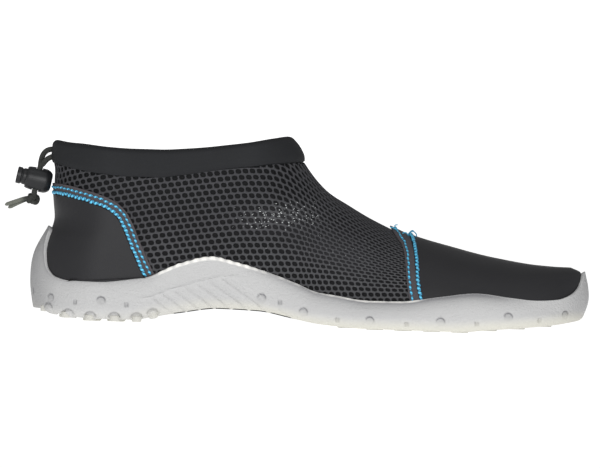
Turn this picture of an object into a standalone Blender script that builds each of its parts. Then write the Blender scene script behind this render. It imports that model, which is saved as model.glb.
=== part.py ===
"""Water shoe, left foot: a hollow knitted upper in a moulded rubber cup sole, with a folded
collar, four sewn overlays, and a drawcord held by a sprung cord lock behind the heel.

Metres, +Z up, toe towards +X, the wearer's outer side towards +Y. The origin is on the
ground under the middle of the sole's outline.
"""
import math
from collections import namedtuple

import bmesh
import bpy
import numpy as np
from mathutils import Matrix, Vector

MM = 0.001
INNER, OUTER = 0, 1
SIDE_SIGN = (-1.0, 1.0)

# Driving sizes of the last
LENGTH = 285 * MM
BALL_WIDTH = 98 * MM
INSTEP_HEIGHT = 83.7 * MM
HEEL_HEIGHT = 80 * MM
HEEL_SETBACK = 5 * MM
TOE_SETBACK = 4 * MM

# Driving sizes of the upper and what is sewn on it
UPPER_WALL = 2 * MM
OVERLAY_THICKNESS = 1.1 * MM
TAPE_THICKNESS = 0.8 * MM
COLLAR_DEPTH = 14 * MM
COLLAR_THICKNESS = 5 * MM
FIT_GAP = 0.3 * MM

# Driving sizes of the sole and insole
ARCH_CREST = 34 * MM
FOOTBED = 6.5 * MM
ARCH_LIFT = 8.2 * MM
TOE_SPRING = 7 * MM
SOLE_WALL = 4.4 * MM
SOLE_LIP = 1.9 * MM
BUMPER_LIP = 3.2 * MM
LUG_HEIGHT = 1.3 * MM
LUG_SINK = 1.2 * MM
LUG_RADIUS = 4.6 * MM
EDGE_LUG_RADIUS = 4.2 * MM
EDGE_LUG_PROUD = 0.4 * MM
EDGE_LUG_RISE = 3.4 * MM
RIB_WIDTH = 1.6 * MM
RIB_PROUD = 0.8 * MM
RIB_SPACING = 7.4 * MM
INSOLE_THICKNESS = 3.5 * MM

# Driving sizes of the drawcord and its lock
CORD_DIAMETER = 2.8 * MM
CORD_GAP = 0.8 * MM
LOCK_RADIUS = 6.2 * MM
LOCK_LENGTH = 13.2 * MM
LOCK_END_WALL = 1.0 * MM
LOCK_TILT = math.radians(11.5)
LOCK_ROUNDING = 2.4 * MM
LOCK_RIM = 0.6 * MM
LOCK_SEGMENTS = 16
PLUNGER_RADIUS = 4.3 * MM
PLUNGER_HEAD_LENGTH = 4.9 * MM
PLUNGER_TRAVEL = 3 * MM
PLUNGER_END_WALL = 1.4 * MM
KNOT_WIDTH = 7.4 * MM
KNOT_HEIGHT = 6.6 * MM
KNOT_CLEARANCE = 0.8 * MM

# Columns of the last from heel to toe. u is the share of the upper's length; axis, inner and
# outer are shares of the ball width; shoulder and crown shape the section; bed is the height
# of the footbed as a share of FOOTBED.
Station = namedtuple("Station", "u axis inner outer shoulder crown bed")
LAST = (
    Station(0.00, 0.000, 0.300, 0.300, 2.0, 2.0, 1.08),
    Station(0.10, 0.000, 0.322, 0.325, 2.0, 2.0, 1.00),
    Station(0.20, 0.000, 0.325, 0.350, 2.0, 2.0, 1.20),
    Station(0.32, 0.000, 0.315, 0.375, 1.8, 1.9, 2.05),
    Station(0.45, 0.005, 0.325, 0.415, 1.6, 1.8, 1.60),
    Station(0.56, 0.005, 0.385, 0.460, 1.6, 1.9, 1.08),
    Station(0.68, -0.015, 0.450, 0.495, 1.9, 2.1, 1.00),
    Station(0.77, -0.045, 0.455, 0.490, 2.1, 2.2, 1.05),
    Station(0.86, -0.090, 0.425, 0.470, 2.2, 2.3, 1.28),
    Station(0.94, -0.130, 0.390, 0.440, 2.5, 2.8, 1.60),
    Station(1.00, -0.160, 0.345, 0.400, 3.2, 3.8, 1.75),
)
HEEL_ROUND = 0.115
TOE_ROUND = 0.20
TOE_ROUND_POWER = 2.3

# The instep line from the collar to the toe: height as a share of INSTEP_HEIGHT
Ridge = namedtuple("Ridge", "u height")
INSTEP = (
    Ridge(0.4833, 1.000),
    Ridge(0.4967, 0.938),
    Ridge(0.5123, 0.877),
    Ridge(0.5297, 0.823),
    Ridge(0.5685, 0.745),
    Ridge(0.6098, 0.669),
    Ridge(0.6460, 0.618),
    Ridge(0.6826, 0.567),
    Ridge(0.7554, 0.502),
    Ridge(0.8395, 0.440),
    Ridge(0.9246, 0.403),
    Ridge(0.9790, 0.396),
    Ridge(1.0000, 0.396),
)
COLLAR_FRONT = INSTEP[0].u

# The edge of the upper under the collar. t runs from the heel to the collar's front; height
# is a share of HEEL_HEIGHT, half a share of the ball width, depth a share of COLLAR_DEPTH.
Rim = namedtuple("Rim", "t height half depth")
RIM = (
    Rim(0.00, 0.995, 0.235, 0.84),
    Rim(0.05, 0.975, 0.245, 0.88),
    Rim(0.12, 0.955, 0.262, 0.95),
    Rim(0.23, 0.932, 0.280, 0.99),
    Rim(0.33, 0.924, 0.292, 1.00),
    Rim(0.44, 0.924, 0.298, 1.00),
    Rim(0.56, 0.949, 0.298, 0.93),
    Rim(0.67, 0.982, 0.290, 0.86),
    Rim(0.78, 1.005, 0.275, 0.88),
    Rim(0.89, 1.030, 0.262, 0.95),
    Rim(1.00, 1.046, 0.245, 1.12),
)
RIM_FRONT_ROUND = 0.20
# How far the collar leans inwards as it rises, at its sides and at its front
SIDE_LEAN = 0.06
FRONT_LEAN = 0.70

# The back of the upper: height as a share of HEEL_HEIGHT, x as a share of LENGTH
Back = namedtuple("Back", "height x")
HEEL_CURVE = (
    Back(0.06, 0.0208),
    Back(0.18, 0.0172),
    Back(0.31, 0.0165),
    Back(0.41, 0.0200),
    Back(0.52, 0.0320),
    Back(0.58, 0.0430),
    Back(0.65, 0.0470),
    Back(0.73, 0.0450),
    Back(0.81, 0.0425),
    Back(0.88, 0.0400),
    Back(0.94, 0.0405),
    Back(1.00, 0.0380),
)
HEEL_CURVE_REACH = 0.30

# The front of the upper: q is the share of the section's height, x a share of LENGTH
Front = namedtuple("Front", "q x")
TOE_CURVE = (
    Front(0.00, -0.0090),
    Front(0.30, -0.0005),
    Front(0.55, 0.0000),
    Front(0.75, -0.0010),
    Front(0.90, -0.0045),
    Front(1.00, -0.0280),
)
TOE_CURVE_REACH = 0.15

# The moulded edge of the sole: heights as shares of ARCH_CREST on the arch side and outside
Edge = namedtuple("Edge", "u inner outer")
SOLE_EDGE = (
    Edge(0.000, 1.350, 1.350),
    Edge(0.006, 1.290, 1.290),
    Edge(0.014, 1.020, 1.020),
    Edge(0.023, 0.760, 0.760),
    Edge(0.036, 0.640, 0.640),
    Edge(0.060, 0.588, 0.588),
    Edge(0.113, 0.580, 0.580),
    Edge(0.176, 0.640, 0.620),
    Edge(0.204, 0.680, 0.650),
    Edge(0.230, 0.775, 0.700),
    Edge(0.262, 0.890, 0.760),
    Edge(0.320, 1.000, 0.810),
    Edge(0.362, 0.930, 0.780),
    Edge(0.425, 0.790, 0.700),
    Edge(0.483, 0.620, 0.590),
    Edge(0.515, 0.520, 0.520),
    Edge(0.546, 0.480, 0.480),
    Edge(0.611, 0.412, 0.440),
    Edge(0.668, 0.418, 0.430),
    Edge(0.738, 0.500, 0.470),
    Edge(0.808, 0.565, 0.520),
    Edge(0.868, 0.520, 0.530),
    Edge(0.910, 0.497, 0.520),
    Edge(0.950, 0.520, 0.540),
    Edge(0.975, 0.600, 0.610),
    Edge(0.989, 0.710, 0.710),
    Edge(0.997, 0.860, 0.860),
    Edge(1.000, 0.930, 0.930),
)

# The underside: lift is a share of ARCH_LIFT, spring of TOE_SPRING, lug of LUG_HEIGHT
Under = namedtuple("Under", "u lift spring lug")
UNDERSIDE = (
    Under(0.000, 0.53, 0.00, 0.2),
    Under(0.030, 0.33, 0.00, 0.5),
    Under(0.058, 0.13, 0.00, 1.0),
    Under(0.095, 0.00, 0.00, 1.0),
    Under(0.180, 0.00, 0.00, 1.0),
    Under(0.204, 0.22, 0.00, 0.6),
    Under(0.230, 0.48, 0.00, 0.0),
    Under(0.263, 0.67, 0.00, 0.0),
    Under(0.334, 1.00, 0.00, 0.0),
    Under(0.407, 0.93, 0.00, 0.0),
    Under(0.469, 0.55, 0.00, 0.0),
    Under(0.521, 0.21, 0.00, 0.6),
    Under(0.558, 0.08, 0.00, 1.0),
    Under(0.600, 0.00, 0.00, 1.0),
    Under(0.770, 0.00, 0.00, 1.0),
    Under(0.843, 0.00, 0.24, 1.0),
    Under(0.905, 0.00, 0.46, 1.0),
    Under(0.951, 0.00, 0.66, 0.7),
    Under(1.000, 0.00, 1.00, 0.2),
)

# Seams seen from the side, as x share of LENGTH and z share of HEEL_HEIGHT
Seam = namedtuple("Seam", "x z")
COUNTER_SEAM = (
    Seam(0.020, 0.789),
    Seam(0.061, 0.775),
    Seam(0.086, 0.755),
    Seam(0.113, 0.730),
    Seam(0.137, 0.698),
    Seam(0.153, 0.658),
    Seam(0.166, 0.585),
    Seam(0.178, 0.485),
    Seam(0.190, 0.384),
    Seam(0.199, 0.315),
    Seam(0.212, 0.220),
)
VAMP_SEAM = (
    Seam(0.664, 0.750),
    Seam(0.669, 0.621),
    Seam(0.677, 0.578),
    Seam(0.686, 0.503),
    Seam(0.691, 0.414),
    Seam(0.697, 0.313),
    Seam(0.706, 0.215),
    Seam(0.712, 0.100),
)
BINDING_WIDTH = 4.6 * MM
TAPE_WIDTH = 6.4 * MM

# Places of the tread. u is the share of the upper's length; count is how many lugs stand
# across it; spread is their reach towards the sole's edges, which are at 1.
Row = namedtuple("Row", "u count spread")
LUG_ROWS = (
    Row(0.055, 2, 0.30),
    Row(0.100, 3, 0.56),
    Row(0.145, 3, 0.56),
    Row(0.570, 3, 0.68),
    Row(0.622, 4, 0.76),
    Row(0.674, 4, 0.78),
    Row(0.726, 4, 0.78),
    Row(0.778, 4, 0.76),
    Row(0.830, 4, 0.74),
    Row(0.882, 3, 0.66),
    Row(0.934, 2, 0.42),
)
EDGE_LUGS = (0.036, 0.074, 0.114, 0.155, 0.194)
# The ribs of the arch: RIB_TOP and RIB_FOOT count the rows of the sole's side from its edge,
# and WALL_FOOT is the row at its widest, just over the rounded lower edge.
RIB_COUNT = 6
RIB_START = 0.225
RIB_TOP = 1.3
RIB_FOOT = 4.3
RIB_LEAN = 1.6
RIB_SAMPLES = 7
WALL_FOOT = 3.6

# Where the drawcord leaves the collar and how it hangs behind the heel. The route's points
# are chosen by hand, in millimetres from the exit: x towards the toe, z up.
EXIT_HEIGHT = 6.0 * MM
EXIT_DEPTH = 2.4 * MM
Bend = namedtuple("Bend", "x z")
CORD_ROUTE = (
    Bend(0.0, 0.0),
    Bend(-2.3, -0.9),
    Bend(-4.1, -2.9),
    Bend(-5.1, -5.8),
)
LOCK_HOLE = Bend(-6.9, -15.0)
# The two cord ends, in millimetres from the knot's side
Tail = namedtuple("Tail", "name side route")
TAILS = (
    Tail("cord_tail_inner", INNER, (Bend(0, 0.3), Bend(-3, -0.3), Bend(-6, -1.1), Bend(-10, -2.2))),
    Tail("cord_tail_outer", OUTER, (Bend(0, -0.6), Bend(-2.6, -1.8), Bend(-5.2, -3.2), Bend(-7.8, -4.6))),
)
CORD_STEP = 2.2 * CORD_DIAMETER

# How finely the surfaces are divided
REAR_COLUMNS = 18
FRONT_COLUMNS = 15
WALL_ROWS = 3
SKIN_ROWS = 7
CROSS_CELLS = 4
LUG_SEGMENTS = 8
UPPER_START = HEEL_SETBACK
UPPER_LENGTH = LENGTH - HEEL_SETBACK - TOE_SETBACK
COLUMNS = REAR_COLUMNS + FRONT_COLUMNS
ROWS = WALL_ROWS + 1 + SKIN_ROWS


def blend(rows, source, target, where):
    """Smooth value of one table column at `where`, with no overshoot between the rows."""
    xs = np.array([getattr(row, source) for row in rows])
    ys = np.array([getattr(row, target) for row in rows])
    steps = np.diff(xs)
    slopes = np.diff(ys) / steps
    tangents = np.zeros(len(xs))
    for k in range(1, len(xs) - 1):
        if slopes[k - 1] * slopes[k] > 0:
            before = 2 * steps[k] + steps[k - 1]
            after = steps[k] + 2 * steps[k - 1]
            tangents[k] = (before + after) / (before / slopes[k - 1] + after / slopes[k])
    tangents[0] = slopes[0]
    tangents[-1] = slopes[-1]
    x = min(max(where, xs[0]), xs[-1])
    k = min(int(np.searchsorted(xs, x, side="right")) - 1, len(steps) - 1)
    t = (x - xs[k]) / steps[k]
    start = ys[k] * (1 + 2 * t) * (1 - t) ** 2 + tangents[k] * steps[k] * t * (1 - t) ** 2
    end = ys[k + 1] * t * t * (3 - 2 * t) + tangents[k + 1] * steps[k] * t * t * (t - 1)
    return start + end


def round_end(distance, reach, power):
    """Rises from 0 at an end of the outline to 1 at `reach` from it, as a superellipse."""
    if distance >= reach:
        return 1.0
    return (1 - (1 - max(distance, 0.0) / reach) ** power) ** (1 / power)


def half_width(u, side):
    """Half the width of the upper at its feather edge."""
    share = blend(LAST, "u", ("inner", "outer")[side], u)
    ends = round_end(u, HEEL_ROUND, 2) * round_end(1 - u, TOE_ROUND, TOE_ROUND_POWER)
    return share * BALL_WIDTH * ends


def rim_half_width(u):
    """Half the width of the opening at the collar's edge, 0 in front of the collar."""
    if u >= COLLAR_FRONT:
        return 0.0
    t = u / COLLAR_FRONT
    ends = round_end(u, HEEL_ROUND, 2) * round_end(1 - t, RIM_FRONT_ROUND, 2)
    return blend(RIM, "t", "half", t) * BALL_WIDTH * ends


def top_height(u):
    """Height of the collar's edge, and in front of it of the instep line."""
    if u < COLLAR_FRONT:
        return blend(RIM, "t", "height", u / COLLAR_FRONT) * HEEL_HEIGHT
    return blend(INSTEP, "u", "height", u) * INSTEP_HEIGHT


def bed_height(u):
    return blend(LAST, "u", "bed", u) * FOOTBED


def ground_height(u):
    """Height of the tread's face above the ground."""
    lift = blend(UNDERSIDE, "u", "lift", u) * ARCH_LIFT
    spring = blend(UNDERSIDE, "u", "spring", u) * TOE_SPRING
    return lift + spring


def edge_height(u, side):
    share = blend(SOLE_EDGE, "u", ("inner", "outer")[side], u)
    return share * ARCH_CREST


def last_point(u, side, q):
    """A point of the upper's outer surface: q runs from the feather edge to the top."""
    low = bed_height(u)
    z = low + q * (top_height(u) - low)
    width = half_width(u, side)
    shoulder = blend(LAST, "u", "shoulder", u)
    crown = blend(LAST, "u", "crown", u)
    reach = 1.0
    if width > 0:
        open_share = min(rim_half_width(u) / width, 0.98)
        reach = (1 - open_share ** crown) ** (1 / shoulder)
    y = width * max(1 - (reach * q) ** shoulder, 0.0) ** (1 / crown)
    heel = max(1 - u / HEEL_CURVE_REACH, 0.0) ** 2
    back = blend(HEEL_CURVE, "height", "x", z / HEEL_HEIGHT) * LENGTH - UPPER_START
    toe = max(1 - (1 - u) / TOE_CURVE_REACH, 0.0) ** 2
    front = blend(TOE_CURVE, "q", "x", q) * LENGTH
    x = UPPER_START + u * UPPER_LENGTH + back * heel + front * toe
    axis = blend(LAST, "u", "axis", u) * BALL_WIDTH
    return np.array((x, axis + SIDE_SIGN[side] * y, z))


def column_shares():
    """Where the columns stand: close together where the outline turns."""
    rear = [COLLAR_FRONT * (1 - math.cos(math.pi * i / REAR_COLUMNS)) / 2
            for i in range(REAR_COLUMNS)]
    front = [COLLAR_FRONT + (1 - COLLAR_FRONT) * math.sin(math.pi / 2 * i / FRONT_COLUMNS)
             for i in range(FRONT_COLUMNS + 1)]
    return rear + front


def row_shares(u, side):
    """Rows of one column: up the sole's wall, just over its edge, then up to the top."""
    low = bed_height(u)
    height = top_height(u) - low
    edge = (edge_height(u, side) - low) / height
    clear = edge + 1.5 * FIT_GAP / height
    wall = [edge * j / WALL_ROWS for j in range(WALL_ROWS + 1)]
    skin = [clear + (1 - clear) * j / SKIN_ROWS for j in range(SKIN_ROWS + 1)]
    return wall + skin


class Last:
    """The grid of the upper's outer surface and its normals, shared by every piece."""

    def __init__(self):
        self.shares = column_shares()
        self.points = {}
        for side in (INNER, OUTER):
            for i, u in enumerate(self.shares):
                for j, q in enumerate(row_shares(u, side)):
                    self.points.setdefault(self.key(side, i, j), last_point(u, side, q))
        self.normals = {key: np.zeros(3) for key in self.points}
        for side in (INNER, OUTER):
            for i in range(COLUMNS):
                for j in range(ROWS):
                    self.add_normal(side, i, j)
        for key, total in self.normals.items():
            self.normals[key] = total / np.linalg.norm(total)

    @staticmethod
    def key(side, i, j):
        """One name for a point that both sides share: the heel, toe and instep lines."""
        if i in (0, COLUMNS) or (j == ROWS and i >= REAR_COLUMNS):
            side = INNER
        return side, i, j

    def add_normal(self, side, i, j):
        corners = [self.key(side, i, j), self.key(side, i + 1, j),
                   self.key(side, i + 1, j + 1), self.key(side, i, j + 1)]
        across = self.points[corners[2]] - self.points[corners[0]]
        along = self.points[corners[3]] - self.points[corners[1]]
        normal = np.cross(across, along) * -SIDE_SIGN[side]
        for corner in set(corners):
            self.normals[corner] += normal

    def at(self, side, i, j, offset=0.0):
        key = self.key(side, i, j)
        return self.points[key] + self.normals[key] * offset

    def level(self, side, i, offset, z):
        """A point beside the feather edge, moved outwards on the level and set to z."""
        key = self.key(side, i, 0)
        flat = self.normals[key] * np.array((1.0, 1.0, 0.0))
        point = self.points[key] + flat / np.linalg.norm(flat) * offset
        point[2] = z
        return point


class Solid:
    """Collects named corners and the faces between them, then makes one closed mesh."""

    def __init__(self):
        self.corners = []
        self.index = {}
        self.faces = []

    def corner(self, name, point):
        if name not in self.index:
            self.index[name] = len(self.corners)
            self.corners.append(Vector(point))
        return self.index[name]

    def quad(self, a, b, c, d):
        """Two triangles on the diagonal a-c; a triangle with a shared corner is left out."""
        for face in ((a, b, c), (a, c, d)):
            if len(set(face)) == 3:
                self.faces.append(face)

    def strip(self, first, second):
        for k in range(len(first) - 1):
            self.quad(first[k], first[k + 1], second[k + 1], second[k])

    def finish(self, name, material):
        mesh = bpy.data.meshes.new(name)
        mesh.from_pydata([tuple(p) for p in self.corners], [], self.faces)
        shape = bmesh.new()
        shape.from_mesh(mesh)
        bmesh.ops.recalc_face_normals(shape, faces=shape.faces)
        shape.to_mesh(mesh)
        shape.free()
        return add_object(name, mesh, material)


def add_object(name, mesh, material):
    obj = bpy.data.objects.new(name, mesh)
    bpy.context.scene.collection.objects.link(obj)
    if material:
        obj.data.materials.clear()
        obj.data.materials.append(material)
    return obj


def finish_material(name, colour, roughness, metallic=0.0):
    material = bpy.data.materials.new(name)
    material.use_nodes = True
    shader = material.node_tree.nodes["Principled BSDF"]
    shader.inputs["Base Color"].default_value = (*colour, 1.0)
    shader.inputs["Roughness"].default_value = roughness
    shader.inputs["Metallic"].default_value = metallic
    return material


def boolean(target, cutter, operation):
    """Cuts or joins with another object, which is kept as a hidden guide."""
    modifier = target.modifiers.new(cutter.name, "BOOLEAN")
    modifier.operation = operation
    modifier.solver = "EXACT"
    modifier.use_self = operation == "UNION"
    modifier.object = cutter
    cutter.hide_render = True
    cutter.display_type = "WIRE"


def skin_layer(solid, last, side, layer, offset, columns, rows):
    """Rows of corners on the last's surface at one offset, as a grid of indices."""
    grid = []
    for i in columns:
        line = []
        for j in rows:
            name = (layer, last.key(side, i, j))
            line.append(solid.corner(name, last.at(side, i, j, offset)))
        grid.append(line)
    return grid


def shell(name, last, columns, rows, low, high, material):
    """A closed skin between two offsets of the upper's own surface."""
    solid = Solid()
    for side in (INNER, OUTER):
        outer = skin_layer(solid, last, side, "high", high, columns, rows)
        inner = skin_layer(solid, last, side, "low", low, columns, rows)
        for grid in (outer, inner):
            for k in range(len(grid) - 1):
                solid.strip(grid[k], grid[k + 1])
        bottoms = [[line[0] for line in grid] for grid in (outer, inner)]
        solid.strip(*bottoms)
        for k in range(len(columns) - 1):
            if rows[-1] < ROWS or columns[k] < REAR_COLUMNS:
                solid.quad(outer[k][-1], outer[k + 1][-1], inner[k + 1][-1], inner[k][-1])
        if columns[0] > 0:
            solid.strip(outer[0], inner[0])
        if columns[-1] < COLUMNS:
            solid.strip(outer[-1], inner[-1])
    return solid.finish(name, material)


def prism(name, outline, reach):
    """A guide: an outline in the side view, stood across the whole shoe."""
    count = len(outline)
    solid = Solid()
    near = [solid.corner(("near", k), (x, -reach, z)) for k, (x, z) in enumerate(outline)]
    far = [solid.corner(("far", k), (x, reach, z)) for k, (x, z) in enumerate(outline)]
    for k in range(count):
        after = (k + 1) % count
        solid.faces.append((near[k], near[after], far[after], far[k]))
    solid.faces.append(tuple(reversed(near)))
    solid.faces.append(tuple(far))
    return solid.finish(name, None)


def seam_line(rows):
    return [(row.x * LENGTH, row.z * HEEL_HEIGHT) for row in rows]


def shifted(line, distance):
    """A seam moved sideways in the side view, to its left as it runs."""
    moved = []
    for k, (x, z) in enumerate(line):
        x0, z0 = line[max(k - 1, 0)]
        x1, z1 = line[min(k + 1, len(line) - 1)]
        length = math.hypot(x1 - x0, z1 - z0)
        moved.append((x - (z1 - z0) / length * distance, z + (x1 - x0) / length * distance))
    return moved


def build_upper(last, material):
    columns = range(COLUMNS + 1)
    return shell("upper", last, columns, range(ROWS + 1), -UPPER_WALL, 0.0, material)


def build_overlays(last, cloth, trim):
    """Toe cap, vamp tape, heel counter and its binding, cut from the upper's own form."""
    rows = range(WALL_ROWS + 1, ROWS + 1)
    toe_columns = range(next(i for i, u in enumerate(last.shares) if u > 0.62) - 1, COLUMNS + 1)
    heel_columns = range(0, next(i for i, u in enumerate(last.shares) if u > 0.25) + 1)
    reach = BALL_WIDTH
    ceiling = INSTEP_HEIGHT
    vamp = seam_line(VAMP_SEAM)
    tape_front = shifted(vamp, -FIT_GAP)
    tape_rear = shifted(vamp, -FIT_GAP - TAPE_WIDTH)
    counter = seam_line(COUNTER_SEAM)
    binding_low = shifted(counter, FIT_GAP)
    binding_high = shifted(counter, FIT_GAP + BINDING_WIDTH)
    ahead = [(LENGTH + reach, vamp[-1][1]), (LENGTH + reach, ceiling), (vamp[0][0], ceiling)]
    behind = [(counter[-1][0], -reach), (-reach, -reach), (-reach, counter[0][1])]
    pieces = (
        ("toe_cap", toe_columns, OVERLAY_THICKNESS, vamp + ahead, cloth),
        ("vamp_tape", toe_columns, TAPE_THICKNESS, tape_rear + tape_front[::-1], trim),
        ("heel_counter", heel_columns, OVERLAY_THICKNESS, counter + behind, cloth),
        ("counter_binding", heel_columns, TAPE_THICKNESS, binding_low + binding_high[::-1], trim),
    )
    made = []
    for name, columns, thickness, outline, material in pieces:
        piece = shell(name, last, columns, rows, FIT_GAP, FIT_GAP + thickness, material)
        boolean(piece, prism(name + "_outline", outline, reach), "INTERSECT")
        made.append(piece)
    return made


def rim_frames(last):
    """Stations round the opening: point, outward, upward, heel-to-front share, lean."""
    order = [(INNER, i) for i in range(REAR_COLUMNS + 1)]
    order += [(OUTER, i) for i in range(REAR_COLUMNS - 1, 0, -1)]
    points = [last.at(side, i, ROWS) for side, i in order]
    frames = []
    for k, (side, i) in enumerate(order):
        along = points[(k + 1) % len(points)] - points[k - 1]
        level = np.array((-along[1], along[0], 0.0)) * -1
        level = level / np.linalg.norm(level)
        lean = SIDE_LEAN + (FRONT_LEAN - SIDE_LEAN) * max(level[0], 0.0) ** 2
        up = np.array((0.0, 0.0, 1.0)) - level * lean
        up = up / np.linalg.norm(up)
        out = np.cross(np.cross(up, level), up)
        out = out / np.linalg.norm(out)
        frames.append((points[k], out, up, last.shares[i] / COLLAR_FRONT, lean))
    return frames


def collar_section(depth, seat):
    """Outline of the folded collar: (outwards, upwards) from the upper's edge."""
    outside = (COLLAR_THICKNESS - UPPER_WALL) / 2
    inside = outside - COLLAR_THICKNESS
    middle = (outside + inside) / 2
    radius = COLLAR_THICKNESS / 2
    foot = radius * 0.35
    section = [(outside - foot, seat), (outside, seat + foot)]
    for k in range(5):
        turn = math.pi * k / 4
        section.append((middle + radius * math.cos(turn), depth - radius + radius * math.sin(turn)))
    section += [(inside, seat + foot), (inside + foot, seat)]
    return section


def build_collar(last, material):
    solid = Solid()
    rings = []
    for k, (point, out, up, t, lean) in enumerate(rim_frames(last)):
        depth = blend(RIM, "t", "depth", t) * COLLAR_DEPTH
        seat = FIT_GAP * (1 + 1.5 * lean)
        ring = []
        for m, (sideways, rise) in enumerate(collar_section(depth, seat)):
            ring.append(solid.corner((k, m), point + out * sideways + up * rise))
        rings.append(ring)
    for k, ring in enumerate(rings):
        after = rings[(k + 1) % len(rings)]
        solid.strip(ring + ring[:1], after + after[:1])
    return solid.finish("collar_band", material)


def sole_offsets(u):
    """How far the sole's wall stands off the upper, from its foot up to its edge."""
    heel = max(1 - u / 0.05, 0.0)
    toe = max(1 - (1 - u) / 0.06, 0.0)
    lip = SOLE_LIP + (BUMPER_LIP - SOLE_LIP) * max(heel, toe)
    return [lip + (SOLE_WALL - lip) * (1 - j / WALL_ROWS) ** 1.2 for j in range(WALL_ROWS + 1)]


def sole_wall(last, side, i):
    """The sole's outer side at one column, from its top edge down to its bottom edge."""
    u = last.shares[i]
    offsets = sole_offsets(u)
    bed = bed_height(u)
    body = ground_height(u) + blend(UNDERSIDE, "u", "lug", u) * LUG_HEIGHT
    side_points = [last.at(side, i, j, FIT_GAP + offsets[j]) for j in range(WALL_ROWS, 0, -1)]
    foot = SOLE_WALL + FIT_GAP
    room = bed - body
    side_points.append(last.level(side, i, foot * 0.97, body + room * 0.85))
    side_points.append(last.level(side, i, foot * 0.72, body + room * 0.36))
    side_points.append(last.level(side, i, foot * 0.34, body + room * 0.08))
    side_points.append(last.level(side, i, -foot * 0.30, body))
    return side_points


def crossing(solid, layer, i, near, far):
    """Corners across the shoe between two corners of one column."""
    if i in (0, COLUMNS):
        return [near] * (CROSS_CELLS + 1)
    a = solid.corners[near]
    b = solid.corners[far]
    middle = [solid.corner((layer, i, k), a.lerp(b, k / CROSS_CELLS))
              for k in range(1, CROSS_CELLS)]
    return [near] + middle + [far]


def build_sole_body(last, material):
    solid = Solid()
    floor_ends = {}
    base_ends = {}
    for side in (INNER, OUTER):
        lines = []
        for i in range(COLUMNS + 1):
            line = []
            bed = bed_height(last.shares[i])
            lip = [last.level(side, i, FIT_GAP, bed - FIT_GAP)]
            lip += [last.at(side, i, j, FIT_GAP) for j in range(WALL_ROWS + 1)]
            for j, point in enumerate(lip + sole_wall(last, side, i)):
                name = ("wall", last.key(side, i, 0), j)
                line.append(solid.corner(name, point))
            lines.append(line)
            floor_ends[side, i] = line[0]
            base_ends[side, i] = line[-1]
        for i in range(COLUMNS):
            solid.strip(lines[i], lines[i + 1])
    for layer, ends in (("floor", floor_ends), ("base", base_ends)):
        rows = [crossing(solid, layer, i, ends[INNER, i], ends[OUTER, i])
                for i in range(COLUMNS + 1)]
        for i in range(COLUMNS):
            solid.strip(rows[i], rows[i + 1])
    return solid.finish("outsole", material)


def sole_place(u, across):
    """A place under the sole: across runs from -1 on the arch side to 1 on the outside."""
    inner = last_point(u, INNER, 0.0)
    outer = last_point(u, OUTER, 0.0)
    share = (across + 1) / 2
    return inner + (outer - inner) * share


def add_lug(shape, place, radius, tip, root):
    """A round lug from the ground up into the sole, a little narrower at its tip."""
    height = root - tip
    centre = Matrix.Translation((place[0], place[1], tip + height / 2))
    bmesh.ops.create_cone(shape, cap_ends=True, segments=LUG_SEGMENTS, radius1=radius * 0.88,
                          radius2=radius, depth=height, matrix=centre)


def build_lugs(walls):
    """The tread: rows of round lugs, and studs along the heel's lower edge."""
    shape = bmesh.new()
    for row in LUG_ROWS:
        tip = ground_height(row.u)
        root = tip + LUG_HEIGHT + LUG_SINK
        for k in range(row.count):
            across = row.spread * (2 * k / (row.count - 1) - 1)
            add_lug(shape, sole_place(row.u, across), LUG_RADIUS, tip, root)
    for wall in walls:
        for u in EDGE_LUGS:
            tip = ground_height(u)
            out = wall.normal(u, WALL_FOOT) * np.array((1.0, 1.0, 0.0))
            place = wall.at(u, WALL_FOOT) + out * (EDGE_LUG_PROUD - EDGE_LUG_RADIUS)
            add_lug(shape, place, EDGE_LUG_RADIUS, tip, tip + EDGE_LUG_RISE)
    return mesh_guide("tread_lugs", shape)


class Wall:
    """The sole's outer side as a surface: u along the shoe, v from its edge to its foot."""

    def __init__(self, last, side):
        self.side = side
        self.shares = last.shares
        self.lines = [sole_wall(last, side, i) for i in range(COLUMNS + 1)]

    def at(self, u, v):
        i = min(int(np.searchsorted(self.shares, u, side="right")) - 1, COLUMNS - 1)
        s = (u - self.shares[i]) / (self.shares[i + 1] - self.shares[i])
        j = min(int(v), len(self.lines[0]) - 2)
        t = v - j
        near = self.lines[i][j] * (1 - t) + self.lines[i][j + 1] * t
        far = self.lines[i + 1][j] * (1 - t) + self.lines[i + 1][j + 1] * t
        return near * (1 - s) + far * s

    def normal(self, u, v):
        along = self.at(u + 0.004, v) - self.at(u - 0.004, v)
        down = self.at(u, v + 0.2) - self.at(u, v - 0.2)
        out = np.cross(along, down) * SIDE_SIGN[self.side]
        return out / np.linalg.norm(out)


def build_ribs(walls):
    """Raised ribs that lean across the arch, following the sole's outer side."""
    solid = Solid()
    for wall in walls:
        for k in range(RIB_COUNT):
            top_u = RIB_START + k * RIB_SPACING / UPPER_LENGTH
            rings = []
            for m in range(RIB_SAMPLES):
                share = m / (RIB_SAMPLES - 1)
                v = RIB_TOP + (RIB_FOOT - RIB_TOP) * share
                u = top_u + RIB_LEAN * RIB_SPACING / UPPER_LENGTH * share
                centre = wall.at(u, v)
                out = wall.normal(u, v)
                along = np.array((RIB_WIDTH / 2, 0.0, 0.0))
                ring = [centre - along - out * RIB_PROUD, centre + along - out * RIB_PROUD,
                        centre + along + out * RIB_PROUD, centre - along + out * RIB_PROUD]
                rings.append([solid.corner((wall.side, k, m, n), p) for n, p in enumerate(ring)])
            for first, second in zip(rings, rings[1:]):
                solid.strip(first + first[:1], second + second[:1])
            solid.quad(*rings[0])
            solid.quad(*rings[-1])
    return solid.finish("arch_ribs", None)


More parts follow.
